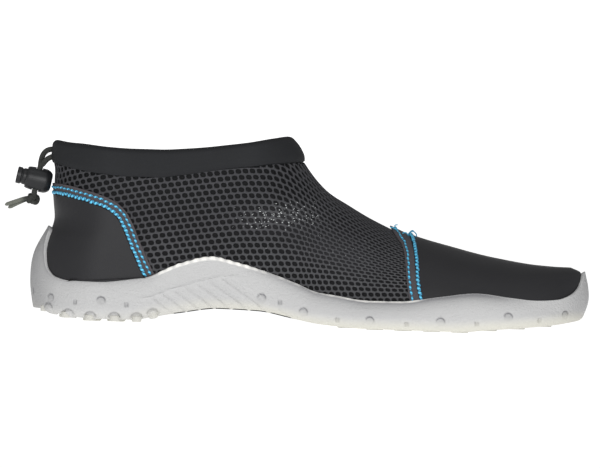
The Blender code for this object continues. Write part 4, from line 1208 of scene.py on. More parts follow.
class SHOE_OT_lock(bpy.types.Operator):
    """Adds the cord lock's barrel and its sprung button"""

    bl_idname = "shoe.lock"
    bl_label = "Cord lock"

    def execute(self, context):
        acetal = finish_of("moulded_acetal", plastic_finish)
        mouth, _ = lock_axes()
        hole = hole_centre_from_lock()
        base = hole - mouth * HOLE_HEIGHT
        bore = PLUNGER_RADIUS + FIT_GAP
        side = [(0, 0), (LOCK_RADIUS - 1.9 * MM, 0), (LOCK_RADIUS - 0.1 * MM, 2.4 * MM),
                (LOCK_RADIUS, 7.0 * MM), (LOCK_RADIUS - 0.5 * MM, LOCK_LENGTH - 1.2 * MM),
                (LOCK_RADIUS - 0.9 * MM, LOCK_LENGTH)]
        inside = [(bore, LOCK_LENGTH), (bore, LOCK_END_WALL), (0, LOCK_END_WALL)]
        barrel = add_turned("lock_shell", rounded(side + inside, 1.4 * MM, 6))
        width = 2 * sizes().cord + CORD_GAP + 2 * FIT_GAP
        height = sizes().cord + 2 * FIT_GAP
        self.cut_slot(barrel, (3 * LOCK_RADIUS, width, height), HOLE_HEIGHT)
        head = LOCK_LENGTH + PLUNGER_HEAD
        start = LOCK_END_WALL + FIT_GAP + PLUNGER_TRAVEL
        neck = PLUNGER_RADIUS - 0.5 * MM
        shaft = PLUNGER_RADIUS - 0.1 * MM
        dish = head - 0.35 * MM
        rod = [(0, start), (shaft, start), (shaft, head - 3.4 * MM), (neck, head - 3.0 * MM),
               (neck, head - 2.6 * MM), (PLUNGER_RADIUS, head - 2.3 * MM),
               (PLUNGER_RADIUS, head), (PLUNGER_RADIUS - 1.5 * MM, head),
               (PLUNGER_RADIUS - 1.9 * MM, dish), (0, dish)]
        button = add_turned("lock_button", rounded(rod, 0.5 * MM))
        middle = HOLE_HEIGHT + PLUNGER_TRAVEL / 2
        self.cut_slot(button, (3 * LOCK_RADIUS, width, height + PLUNGER_TRAVEL), middle)
        place = Matrix.Translation(base) @ Matrix.Rotation(LOCK_TILT - math.pi / 2, 4, "Y")
        for obj in (barrel, button):
            obj.data.transform(place)
        finish_piece(barrel, BODY, "lock_plastic", acetal, "lock_barrel", angle=35)
        finish_piece(button, PLUNGER_BODY, "lock_plastic", acetal, "lock_plunger", angle=35)
        return {"FINISHED"}

    def cut_slot(self, obj, size, height):
        """Cuts the cross hole that the two strands pass through."""
        deselect()
        bpy.ops.mesh.primitive_cube_add(size=1.0, location=(0.0, 0.0, height), scale=size)
        cutter = bpy.context.object
        bpy.ops.object.transform_apply(location=True, rotation=False, scale=True)
        edit(cutter, lambda: bpy.ops.mesh.bevel(offset=0.9 * MM, segments=4, affect="EDGES"))
        apply_modifier(obj, "BOOLEAN", operation="DIFFERENCE", object=cutter)
        bpy.data.objects.remove(cutter)


# The upper

def side_sheets(name, last, columns, rows, place, x, z):
    """The same patch on both sides, joined where they meet, facing away from x and z."""
    made = []
    for side in SIDES:
        sheet = add_sheet(f"{name}_{side}", columns, rows,
                          lambda a, b, side=side: place(side, a, b))
        turn_outwards(sheet, last.inner_point(x, z))
        made.append(sheet)
    obj = join(name, made)
    weld(obj)
    return obj


class SHOE_OT_upper(bpy.types.Operator):
    """Adds the upper's backing and lining, and the mesh face with its holes"""

    bl_idname = "shoe.upper"
    bl_label = "Upper"

    def execute(self, context):
        last = Last()
        knit = finish_of("polyester_spacer_knit", knit_finish)
        self.add_backing(last)
        self.add_face(last, knit)
        return {"FINISHED"}

    def add_backing(self, last):
        """The inner half of the spacer mesh, which closes the holes and lines the shoe."""
        sunk = -1.0 * MM

        def place(side, a, b):
            u = np.interp(a, np.linspace(0, 1, last.count + 1), last.shares)
            q = np.sin(math.pi / 2 * b)
            points = last.at(side, u, q, sunk)
            return points, np.stack((u * UPPER_LENGTH, q * HEEL_HEIGHT), 1), {
                "hole": np.zeros(len(a)), "veil": np.zeros(len(a))}

        wall = side_sheets("upper_wall", last, 121, 25, place, LENGTH / 2, 20 * MM)
        apply_modifier(wall, "SOLIDIFY", thickness=sizes().upper_wall + sunk, offset=-1.0)
        lining = finish_of("brushed_lining", lambda: cloth_finish(
            "brushed_lining", linear("#1d1e21"), 0.85, 0.8 * MM, 0.85, 1.15))
        finish_piece(wall, BODY, "spacer_mesh", lining, "upper", angle=60)

    def add_face(self, last, knit):
        """The outer half of the spacer mesh: a net of cells, each round a deep oval hole."""
        wide = sizes().hole_pitch
        tall = sizes().row_pitch
        corner_s = np.array((-2, -1, 0, 1, 2, 2, 2, 1, 0, -1, -2, -2)) * wide / 4
        corner_t = np.array((-1, -1, -1, -1, -1, 0, 1, 1, 1, 1, 1, 0)) * tall / 2
        bearing = np.arctan2(corner_t / tall, corner_s / wide)
        round_s = np.cos(bearing) * sizes().hole_length / 2
        round_t = np.sin(bearing) * sizes().hole_width / 2 + round_s * HOLE_LEAN
        side_count = len(corner_s)
        points, faces, amounts, painted_lights, pairs = [], [], [], [], []
        for side, s, t, blur, pale, light_specks in self.cells(last, wide, tall):
            first = len(points)
            ring_s, ring_t, drops = [], [], []
            for share, drop, dark in CELL_RINGS:
                ring_s.append(s + round_s + (corner_s - round_s) * share)
                ring_t.append(t + round_t + (corner_t - round_t) * share)
                drops.append(np.full(side_count, drop))
                # The deeper rings get painted shade, less where a hole is blurred, and the
                # shallower ones a tint of painted light.
                amounts += [dark * (1 - 0.62 * blur)] * side_count
                painted_lights += [pale * (1 - dark)] * side_count
            flat_s = np.concatenate(ring_s)
            flat_t = np.concatenate(ring_t)
            flat_drops = np.concatenate(drops)
            points.extend((side, *spot) for spot in zip(flat_s, flat_t, flat_drops))
            pairs.extend(zip(flat_s, flat_t))
            for ring in range(len(CELL_RINGS) - 1):
                for k in range(side_count):
                    a = first + ring * side_count + k
                    b = first + ring * side_count + (k + 1) % side_count
                    face = (a, b, b + side_count, a + side_count)
                    faces.append(face if side == OUTER else face[::-1])
            floor = tuple(range(first + 3 * side_count, first + 4 * side_count))
            faces.append(floor if side == OUTER else floor[::-1])
            # Specks of painted light, as if light shone through both layers of the mesh.
            for ds, dt, size in light_specks:
                first = len(points)
                for a, b in ((-size, 0.1 * size), (0, -0.6 * size), (size, 0), (0, 0.6 * size)):
                    points.append((side, s + ds + a, t + dt + b, 0.05 * MM))
                    pairs.append((s, t))
                faces.append(tuple(range(first, first + 4))[::1 if side == OUTER else -1])
                amounts += [0.0] * 4
                painted_lights += [1.0] * 4
        table = np.array(points)
        placed = np.empty((len(table), 3))
        for side in SIDES:
            mine = table[:, 0] == side
            placed[mine] = last.cloth_point(side, table[mine, 1], table[mine, 2], table[mine, 3])
        mesh = bpy.data.meshes.new("mesh_face")
        mesh.from_pydata(placed.tolist(), [], faces)
        obj = new_object("mesh_face", mesh)
        set_uv(mesh, pairs)
        set_amount(mesh, "hole", amounts)
        set_amount(mesh, "veil", painted_lights)
        weld(obj, 0.01 * MM)
        mesh.materials.append(knit)
        finish_piece(obj, BODY, "spacer_mesh", knit, angle=80)

    def cells(self, last, wide, tall):
        """Where each hole lies, how blurred its painted shade is, how much painted light tints
        it, and the specks of painted light on it.
        """
        seams = Seams(last)
        draw = np.random.default_rng(11)
        shift = last.middle()[0]
        found = []
        for side in SIDES:
            for row in CELL_ROWS:
                stagger = (row + side) % 2 * wide / 2
                s = np.arange(0, last.walk[-1] * 0.78, wide) + stagger
                t = np.full(len(s), (row + 0.5) * tall)
                u = np.interp(s, last.walk, last.shares)
                points = last.cloth_point(side, s, t, np.zeros(len(s)))
                x, z = points[:, 0], points[:, 2]
                lower = last.cloth_point(side, s, t + 0.3 * tall, np.zeros(len(s)))
                inside = np.linalg.norm(lower - points, axis=1) > 0.1 * MM
                inside &= z > edge_height(u, side) - MESH_UNDER_SOLE
                inside &= seam_distance(seams.vamp, x, z) < -MESH_TO_VAMP
                behind = seam_distance(seams.counter, x, z) < MESH_TO_COUNTER
                inside &= ~(behind & (u < COUNTER_END))
                bright = self.patch(x - shift, z, *BRIGHT_PATCH)
                dull = self.patch(x - shift, z, *DULL_PATCH)
                blur = np.clip(1.15 * dull + 0.8 * bright, 0, 1)
                blur = blur * (0.8 + 0.2 * draw.random(len(s)))
                # Painted light: the yarn is painted paler low down and in the bright patch.
                pale = 0.045 * (1 - soft_step(22 * MM, 56 * MM, z)) + 0.05 * bright
                for k in np.nonzero(inside)[0]:
                    chance = 3.4 * bright[k] ** 1.5 + 0.40 * dull[k]
                    large = 0.28 if bright[k] > 0.3 else 0.14
                    light_specks = [(*(draw.random(2) - 0.5) * wide, large * draw.uniform(0.8, 1.8) * MM)
                             for _ in range(draw.poisson(chance))]
                    found.append((side, s[k], t[k], blur[k], pale[k], light_specks))
        return found

    @staticmethod
    def patch(x, z, middle, height, reach, depth, slope):
        """How near a place is to the middle of an oval patch, from 0 to 1."""
        along = (x - middle) / reach
        across = (z - height + slope * (x - middle)) / depth
        return np.exp(-(along ** 2 + across ** 2) * 1.3)


class SHOE_OT_overlays(bpy.types.Operator):
    """Adds the toe cap, the tape, the heel counter and its binding"""

    bl_idname = "shoe.overlays"
    bl_label = "Overlays"

    def execute(self, context):
        last = Last()
        seams = Seams(last)
        cloth = finish_of("laminated_jersey", lambda: cloth_finish(
            "laminated_jersey", base_colour("cloth"), 0.5, 0.55 * MM))
        tape = finish_of("woven_tape", tape_finish)
        self.add_toe_cap(last, seams, cloth)
        self.add_tape(last, seams, tape)
        self.add_counter(last, seams, cloth, tape)
        return {"FINISHED"}

    def add_toe_cap(self, last, seams, cloth):
        top = FIT_GAP + sizes().overlay

        def place(side, a, b):
            rises = np.unique(b)
            start = np.interp(b, rises, seams.vamp_line(side, rises, 0.0)[0])
            u = start + (1 - start) * np.sin(math.pi / 2 * a)
            low = last.foot_share(side, u)
            q = low + (1 - low) * np.sin(math.pi / 2 * b)
            points = last.at(side, u, q, top)
            return points, np.stack((u * UPPER_LENGTH, q * HEEL_HEIGHT), 1)

        cap = side_sheets("toe_cap_cloth", last, 90, 40, place, 220 * MM, 12 * MM)
        self.thicken(cap, sizes().overlay, "laminated_cloth", cloth, "toe_cap")

    def thicken(self, sheet, thick, slot, material, node):
        """Gives a sheet its thickness, a rounded rim and its finish."""
        apply_modifier(sheet, "SOLIDIFY", thickness=thick, offset=-1.0)
        apply_modifier(sheet, "BEVEL", width=CLOTH_RIM, segments=3, limit_method="ANGLE",
                       angle_limit=math.radians(60))
        finish_piece(sheet, BODY, slot, material, node, angle=50)

    def add_tape(self, last, seams, tape):
        top = FIT_GAP + sizes().tape
        width = sizes().tape_width

        def place(side, a, b):
            rises = np.unique(b)
            lines = [seams.vamp_line(side, rises, distance)
                     for distance in (-FIT_GAP - width, -FIT_GAP)]
            rear, front = [[np.interp(b, rises, part) for part in line] for line in lines]
            u = rear[0] + (front[0] - rear[0]) * a
            q = rear[1] + (front[1] - rear[1]) * a
            return last.at(side, u, q, top), np.stack((a * width, b * 90 * MM), 1)

        strip = side_sheets("vamp_tape_woven", last, 9, 60, place, 190 * MM, 12 * MM)
        self.thicken(strip, sizes().tape, "seam_trim", tape, "vamp_tape")

    def add_counter(self, last, seams, cloth, tape):
        bands = (
            ("heel_counter_cloth", "heel_counter", "laminated_cloth", cloth, sizes().overlay,
             None, 0.0, 44),
            ("counter_binding_woven", "counter_binding", "seam_trim", tape, sizes().tape,
             FIT_GAP, FIT_GAP + sizes().binding_width, 8))
        for name, node, slot, material, thick, low, high, rows in bands:
            top = FIT_GAP + thick

            def place(side, a, b, low=low, high=high, top=top):
                lines = np.unique(a)
                far = seams.counter_fan(side, len(lines), high)
                near = np.minimum(seams.counter_fan(side, len(lines), low), far - 0.05 * MM)
                near = np.interp(a, lines, near)
                reach = near + (np.interp(a, lines, far) - near) * b
                turn = np.interp(a, lines, seams.fan_turns(len(lines)))
                u, z = seams.fan_place(turn, reach)
                q = last.height_share(u, np.maximum(z, edge_height(u, side) + CLOTH_FOOT))
                return last.at(side, u, q, top), np.stack((a * 90 * MM, b * 10 * MM), 1)

            piece = side_sheets(name, last, 110, rows, place, 40 * MM, 40 * MM)
            self.thicken(piece, thick, slot, material, node)


class SHOE_OT_collar(bpy.types.Operator):
    """Adds the folded collar round the opening"""

    bl_idname = "shoe.collar"
    bl_label = "Collar"

    def execute(self, context):
        last = Last()
        cloth = finish_of("stretch_jersey", lambda: cloth_finish(
            "stretch_jersey", base_colour("collar"), 0.72, 0.6 * MM, 0.85, 1.15))
        count = 150
        turn = np.arange(count + 1) / count
        shares = COLLAR_FRONT * (1 - np.cos(math.pi * turn)) / 2
        inner = last.at(INNER, shares[:-1], np.ones(count))
        outer = last.at(OUTER, shares[::-1][:-1], np.ones(count))
        ring = np.concatenate((inner, outer))
        ring_t = np.concatenate((shares[:-1], shares[::-1][:-1])) / COLLAR_FRONT
        along = np.roll(ring, -1, 0) - np.roll(ring, 1, 0)
        level = unit(np.stack((along[:, 1], -along[:, 0], np.zeros(len(ring))), 1))
        lean = SIDE_LEAN + (FRONT_LEAN - SIDE_LEAN) * np.clip(level[:, 0], 0, 1) ** 2
        up = unit(np.array((0.0, 0.0, 1.0)) - level * lean[:, None])
        out = unit(np.cross(np.cross(up, level), up))
        depth = ease(RIM, "t", "depth", ring_t) * sizes().collar_depth
        seat = FIT_GAP * (1 + 1.5 * lean)
        walked = stepped_lengths(ring, 0)

        def place(a, b):
            rounds = grid_index(a, len(ring) + 1) % len(ring)
            side_step, rise = self.section(b, depth[rounds], seat[rounds], walked[rounds],
                                           np.clip(level[rounds, 0], 0, 1) ** 2)
            points = (ring[rounds] + out[rounds] * side_step[:, None]
                      + up[rounds] * rise[:, None])
            return points, np.stack((walked[rounds], b * 30 * MM), 1)

        collar = add_sheet("collar_cloth", len(ring) + 1, 49, place)
        weld(collar)
        edit(collar, face_out)
        finish_piece(collar, BODY, "laminated_cloth", cloth, "collar_band", angle=60)
        return {"FINISHED"}

    def section(self, b, depth, seat, walked, front):
        """Round the fold: up the outside, over the top, down the inside and back."""
        thick = sizes().collar_thickness
        outside = (thick - sizes().upper_wall) / 2
        radius = thick / 2
        middle = outside - radius
        low = seat - 0.25 * MM
        rise_out = depth - radius - low
        arc = math.pi * radius
        total = 2 * rise_out + arc + thick
        walk = b * total
        side_step = np.full(len(b), outside)
        rise = low + walk
        over = (walk > rise_out) & (walk <= rise_out + arc)
        turn = (walk - rise_out) / radius
        side_step = np.where(over, middle + radius * np.cos(turn), side_step)
        rise = np.where(over, depth - radius + radius * np.sin(turn), rise)
        down = (walk > rise_out + arc) & (walk <= 2 * rise_out + arc)
        side_step = np.where(down, outside - thick, side_step)
        rise = np.where(down, depth - radius - (walk - rise_out - arc), rise)
        foot = walk > 2 * rise_out + arc
        side_step = np.where(foot, outside - thick + (walk - 2 * rise_out - arc), side_step)
        rise = np.where(foot, low, rise)
        # The cloth draws in to its seam, and swells a little above it
        above = np.clip((rise - low) / DRAW_REACH, 0, 1)
        draw_in = (1 - above) ** 2 * DRAW_IN
        swell = np.sin(np.clip((rise - low) / np.maximum(depth - low, 1e-6), 0, 1) * math.pi)
        wave = np.sin(walked * 2 * math.pi / (23 * MM)) * np.sin(walked * 2 * math.pi / (61 * MM))
        from_middle = np.sign(side_step - middle)
        side_step = side_step - from_middle * draw_in + from_middle * swell * (
            SWELL + SWELL_WAVE * wave + FRONT_SWELL * front * (from_middle > 0))
        return side_step, rise


# The sole

class Sole:
    """The sole's outer side, as a smooth surface from its top edge to its lower edge."""

    def __init__(self, last):
        self.last = last

    def offsets(self, u):
        heel = np.clip(1 - u / 0.05, 0, 1)
        toe = np.clip(1 - (1 - u) / 0.06, 0, 1)
        lip = sizes().sole_lip + (sizes().bumper_lip - sizes().sole_lip) * np.maximum(heel, toe)
        return [lip + (sizes().sole_wall - lip) * (1 - j / 3) ** 1.2 for j in range(4)]

    def level(self, side, u, offset, z):
        point = self.last.at(side, u, np.zeros(len(u)))
        lifted = self.last.at(side, u, np.zeros(len(u)), 1.0)
        flat = unit((lifted - point) * np.array((1.0, 1.0, 0.0)))
        point = point + flat * np.asarray(offset)[..., None]
        point[:, 2] = z
        return point

    def knots(self, side, u):
        """Seven places down the side of each column."""
        bed = bed_height(u)
        edge = self.last.height_share(u, edge_height(u, side))
        body = ground_height(u) + ease(UNDERSIDE, "u", "lug", u) * LUG_HEIGHT
        offsets = self.offsets(u)
        rows = [self.last.at(side, u, edge * j / 3, FIT_GAP + offsets[j]) for j in (3, 2, 1)]
        foot = (sizes().sole_wall + FIT_GAP) * (1 - 0.24 * (1 - soft_step(0.0, 0.03, u)))
        room = bed - body
        for share, rise in ((0.97, 0.85), (0.72, 0.36), (0.34, 0.08), (-0.30, 0.0)):
            rows.append(self.level(side, u, foot * share, body + room * rise))
        return np.array(rows)

    def inside(self, side, u):
        """Places up the cup's inner face, from the footbed to the edge."""
        edge = self.last.height_share(u, edge_height(u, side))
        rows = [self.level(side, u, FIT_GAP * np.ones(len(u)), bed_height(u) - FIT_GAP)]
        rows += [self.last.at(side, u, edge * j / 2, FIT_GAP) for j in range(2)]
        rows.append(self.last.at(side, u, edge, FIT_GAP) - np.array((0.0, 0.0, 0.5 * MM)))
        return np.array(rows)


def through_knots(knots, where):
    """Points of a smooth curve through the knots of every column at once."""
    ends = np.concatenate((2 * knots[:1] - knots[1:2], knots, 2 * knots[-1:] - knots[-2:-1]))
    k = np.clip(np.floor(where).astype(int), 0, len(knots) - 2)
    t = (where - k)[:, None, None]
    return spline(ends[k], ends[k + 1], ends[k + 2], ends[k + 3], t)


def soft_step(low, high, value):
    t = np.clip((value - low) / (high - low), 0, 1)
    return t * t * (3 - 2 * t)


class SHOE_OT_sole(bpy.types.Operator):
    """Adds the moulded sole with its side marks, arch panel and lugs, and the footbed"""

    bl_idname = "shoe.sole"
    bl_label = "Sole and footbed"

    COLUMNS = 620
    WALL_STEPS = 58

    def execute(self, context):
        last = Last()
        sole = Sole(last)
        rubber = finish_of("matt_rubber", rubber_finish)
        turn = np.linspace(0, 1, 4000)
        blend = 0.5 - 0.5 * np.cos(math.pi * turn)
        dense = turn * 0.45 + blend * 0.55
        guide = sole.knots(INNER, dense)[2]
        walked = stepped_lengths(guide, 0)
        shares = np.interp(np.linspace(0, walked[-1], self.COLUMNS), walked, dense)
        pieces = [self.add_side(last, sole, side, shares) for side in SIDES]
        low = [sole.knots(side, shares)[-1] for side in SIDES]
        pieces.append(self.add_flat("sole_base", low, 9, 0.3))
        low = [sole.inside(side, shares)[0] for side in SIDES]
        pieces.append(self.add_flat("sole_floor", low, 3, 0.0))
        body = join("sole_rubber", pieces)
        weld(body, 0.03 * MM)
        edit(body, face_out)
        tread = self.add_tread(last, sole)
        body = join("sole_rubber", [body, tread])
        finish_piece(body, BODY, "moulded_rubber", rubber, "outsole", angle=50)
        self.add_footbed()
        return {"FINISHED"}

    def add_side(self, last, sole, side, u):
        knots = sole.knots(side, u)
        inner = sole.inside(side, u)
        steps = np.linspace(0, 6, self.WALL_STEPS)
        wall = through_knots(knots, steps)
        along = np.gradient(wall, axis=1)
        down = np.gradient(wall, axis=0)
        normal = unit(np.cross(along, down)) * SIDE_SIGN[side]
        top = edge_height(u, side)
        amounts = self.marks(last, wall, top)
        wall = wall + normal * amounts.pop("height")[..., None]
        lip_out = wall[0]
        lip_in = inner[-1]
        torn = self.flash(u, side)
        lip = []
        for turn in np.linspace(0, math.pi, 7)[1:-1]:
            share = (1 - math.cos(turn)) / 2
            rise = math.sin(turn) * (0.55 + 0.55 * torn) * MM
            lip.append(lip_in * (1 - share) + lip_out * share
                       + np.stack((0 * rise, 0 * rise, rise), 1))
        rows = np.concatenate((inner, np.array(lip), wall))
        extra = len(rows) - len(wall)
        flash = np.zeros(rows.shape[:2])
        flash[extra - 3:extra + 2] = torn
        blank = np.zeros((extra, len(u)))
        table = {key: np.concatenate((blank, value)) for key, value in amounts.items()}
        table["flash"] = flash
        count = len(rows)

        def place(a, b):
            i = grid_index(a, len(u))
            j = grid_index(b, count)
            return rows[j, i], np.stack((u[i] * UPPER_LENGTH, b * 50 * MM), 1), {
                key: value[j, i] for key, value in table.items()}

        return add_sheet(f"sole_side_{side}", len(u), count, place)

    def flash(self, u, side):
        """A thin torn skin of moulding flash along the middle of the top edge."""
        reach = soft_step(0.20, 0.24, u) * (1 - soft_step(0.69, 0.72, u))
        rear = 1 - soft_step(0.36, 0.44, u)
        fore = soft_step(0.52, 0.58, u)
        wear = 0.16 + 0.14 * np.sin(u * 143 + side) * np.sin(u * 61)
        wear += (0.05 + 0.25 * rear) * np.sin(u * 397)
        return reach * np.clip(wear + 0.6 * rear + 0.35 * fore, 0, 1)

    def marks(self, last, wall, top):
        """How far each place of the wall is sunk or raised, how much painted shade it gets and
        how warm it is tinted.
        """
        shift = last.middle()[0]
        x = (wall[..., 0] - shift) / MM
        z = wall[..., 2] / MM
        middle = wall[len(wall) // 2]
        walked = stepped_lengths(middle, 0) / MM
        here = np.broadcast_to(walked, z.shape)
        middle_x = (middle[:, 0] - shift) / MM
        height = np.zeros(z.shape)
        soot = np.zeros(z.shape)

        def from_mark(mark_x, mark_z):
            centre = np.interp(mark_x, np.maximum.accumulate(middle_x), walked)
            return here - centre, z - mark_z

        for mark in SCOOPS:
            dx, dz = from_mark(*mark)
            r = np.hypot(dx, dz) / SCOOP_RADIUS
            bowl = 1 - soft_step(0.82, 1.0, r)
            fall = np.clip(0.55 + 0.55 * (dz + dx * 0.15) / SCOOP_RADIUS, 0, 1)
            height -= bowl * fall ** 1.2 * MARK_DEPTH
            # Painted shadow along the top of each scoop's rim, and a little painted shade in its
            # bowl.
            soot += np.exp(-((r - 0.88) / 0.14) ** 2) * soft_step(0.35, 0.85, fall) * 0.85
            soot += bowl * 0.05
        for mark in NOTCHES:
            dx, dz = from_mark(*mark)
            box = (1 - soft_step(0.7, 1.15, np.abs(dx))) * (1 - soft_step(0.9, 1.35, np.abs(dz)))
            fall = soft_step(-1.4, 0.8, dz)
            height -= box * (0.3 + 0.6 * fall) * MARK_DEPTH
            # Painted shade in each notch, darker at its sides.
            soot += box * (0.25 + 0.35 * soft_step(0.3, 1.0, np.abs(dx)))
        for stud in HEEL_STUDS:
            dx, _ = from_mark((UPPER_START + stud * UPPER_LENGTH) / MM, 0)
            dz = z - (ground_height(np.array(stud)) / MM + 1.6)
            r = np.hypot(dx / 2.6, dz / 2.8)
            pod = 1 - soft_step(0.72, 1.0, r)
            ring = np.exp(-((r - 1.12) / 0.16) ** 2) * soft_step(0.2, 0.9, dz)
            height += pod * STUD_RISE
            height -= ring * STUD_RING_DEPTH
            # Painted shade in the groove round each stud.
            soot += ring * 0.5
        panel, ridges = self.panel(x, z)
        height -= panel * PANEL_DEPTH
        height += ridges * RIDGE_RISE
        below = top / MM - z
        fore = soft_step(95, 135, x) * (1 - soft_step(228, 262, x))
        rear = 1 - soft_step(62, 72, x)
        # Painted shade on the wall just under the upper's edge, where the upper overhangs it.
        soot += np.exp(-np.clip(below, 0, 40) / 2.1) * (0.72 * fore + 0.30 * rear)
        # Painted shade on the heel and toe ends, which turn away from the light.
        soot += 0.40 * (1 - soft_step(1, 18, x)) + 0.22 * soft_step(268, 281, x)
        low = 1 - soft_step(1.0, 7.0, z - ground_height(np.clip(x / 276, 0, 1)) / MM)
        warm = low * 0.35 * soft_step(20, 150, x) + low * 0.12
        return {"height": height, "soot": np.clip(soot, 0, 0.85), "warm": warm}

    def panel(self, x, z):
        """The sunk panel of the arch and the thin ridges that slant across it."""
        top = ease(PANEL_TOP, "x", "z", x)
        slant = x + RIDGE_LEAN * (z - 24.0)
        step = (RIDGE_LAST - RIDGE_FIRST) / (RIDGE_COUNT - 1)
        inside = soft_step(0.0, 0.7, top - z)
        inside *= soft_step(RIDGE_FIRST - 0.6, RIDGE_FIRST, slant)
        inside *= 1 - soft_step(RIDGE_LAST + 8.8, RIDGE_LAST + 9.6, slant)
        inside *= soft_step(50, 60, x)
        ridge = (slant - RIDGE_FIRST) / step
        nearest = np.abs(ridge - np.rint(ridge)) * step
        ridges = (1 - soft_step(0.25, 0.95, nearest)) * inside
        rim = np.exp(-((top - z + 0.4) / 0.5) ** 2) * soft_step(54, 60, x) * (
            1 - soft_step(104, 111, x))
        return inside, np.maximum(ridges, rim * 0.8)

    def add_flat(self, name, low, rows, warm):
        """A sheet across the sole, from the inner side's line to the outer side's."""
        count = len(low[INNER])

        def place(a, b):
            i = grid_index(a, count)
            points = low[INNER][i] * (1 - b)[:, None] + low[OUTER][i] * b[:, None]
            flat = np.zeros(len(a))
            return points, np.stack((a * LENGTH, b * BALL_WIDTH), 1), {
                "soot": flat, "warm": flat + warm, "flash": flat}

        return add_sheet(name, count, rows, place)

    def add_tread(self, last, sole):
        """Round lugs, each a short cylinder with a rounded tip."""
        made = []
        for row in LUG_ROWS:
            u = np.array([row.u])
            ends = [last.at(side, u, np.zeros(1))[0] for side in SIDES]
            tip = float(ground_height(u)[0])
            for k in range(row.count):
                across = row.spread * (2 * k / (row.count - 1) - 1)
                place = ends[0] + (ends[1] - ends[0]) * (across + 1) / 2
                made.append(self.add_lug(place, LUG_RADIUS, tip, tip + LUG_DEPTH))
        for side in SIDES:
            for stud in HEEL_STUDS:
                u = np.array([stud])
                tip = float(ground_height(u)[0])
                foot = sizes().sole_wall + FIT_GAP - STUD_INSET
                near = sole.level(side, u, np.array([foot]), tip)[0]
                made.append(self.add_lug(near, STUD_RADIUS, tip + STUD_LIFT, tip + STUD_DEPTH))
        tread = join("tread", made)
        count = len(tread.data.vertices)
        for key, value in (("soot", 0.0), ("warm", 0.35), ("flash", 0.0)):
            set_amount(tread.data, key, np.full(count, value))
        return tread

    def add_lug(self, place, radius, tip, root):
        deselect()
        bpy.ops.mesh.primitive_cylinder_add(vertices=24, radius=radius, depth=root - tip,
                                            location=(place[0], place[1], (tip + root) / 2))
        lug = bpy.context.object
        bpy.ops.object.transform_apply(location=True, rotation=False, scale=False)
        apply_modifier(lug, "BEVEL", width=0.55 * MM, segments=3, limit_method="ANGLE",
                       angle_limit=math.radians(60))
        return lug

    def add_footbed(self):
        """The insole: a copy of its solid, with its faces welded and smoothly shaded."""
        cloth = finish_of("brushed_footbed", foam_finish)
        source = frame["nodes"]["insole"]
        bed = source.copy()
        bed.data = source.data.copy()
        for key in list(bed.keys()):
            del bed[key]
        bed.parent = None
        bpy.context.scene.collection.objects.link(bed)
        bed.name = "footbed_cloth"
        bed.data.name = "footbed_cloth"
        bed.data.materials.clear()
        weld(bed, 0.01 * MM)
        finish_piece(bed, BODY, "insole_foam", cloth, "insole", angle=40)


# Stitches

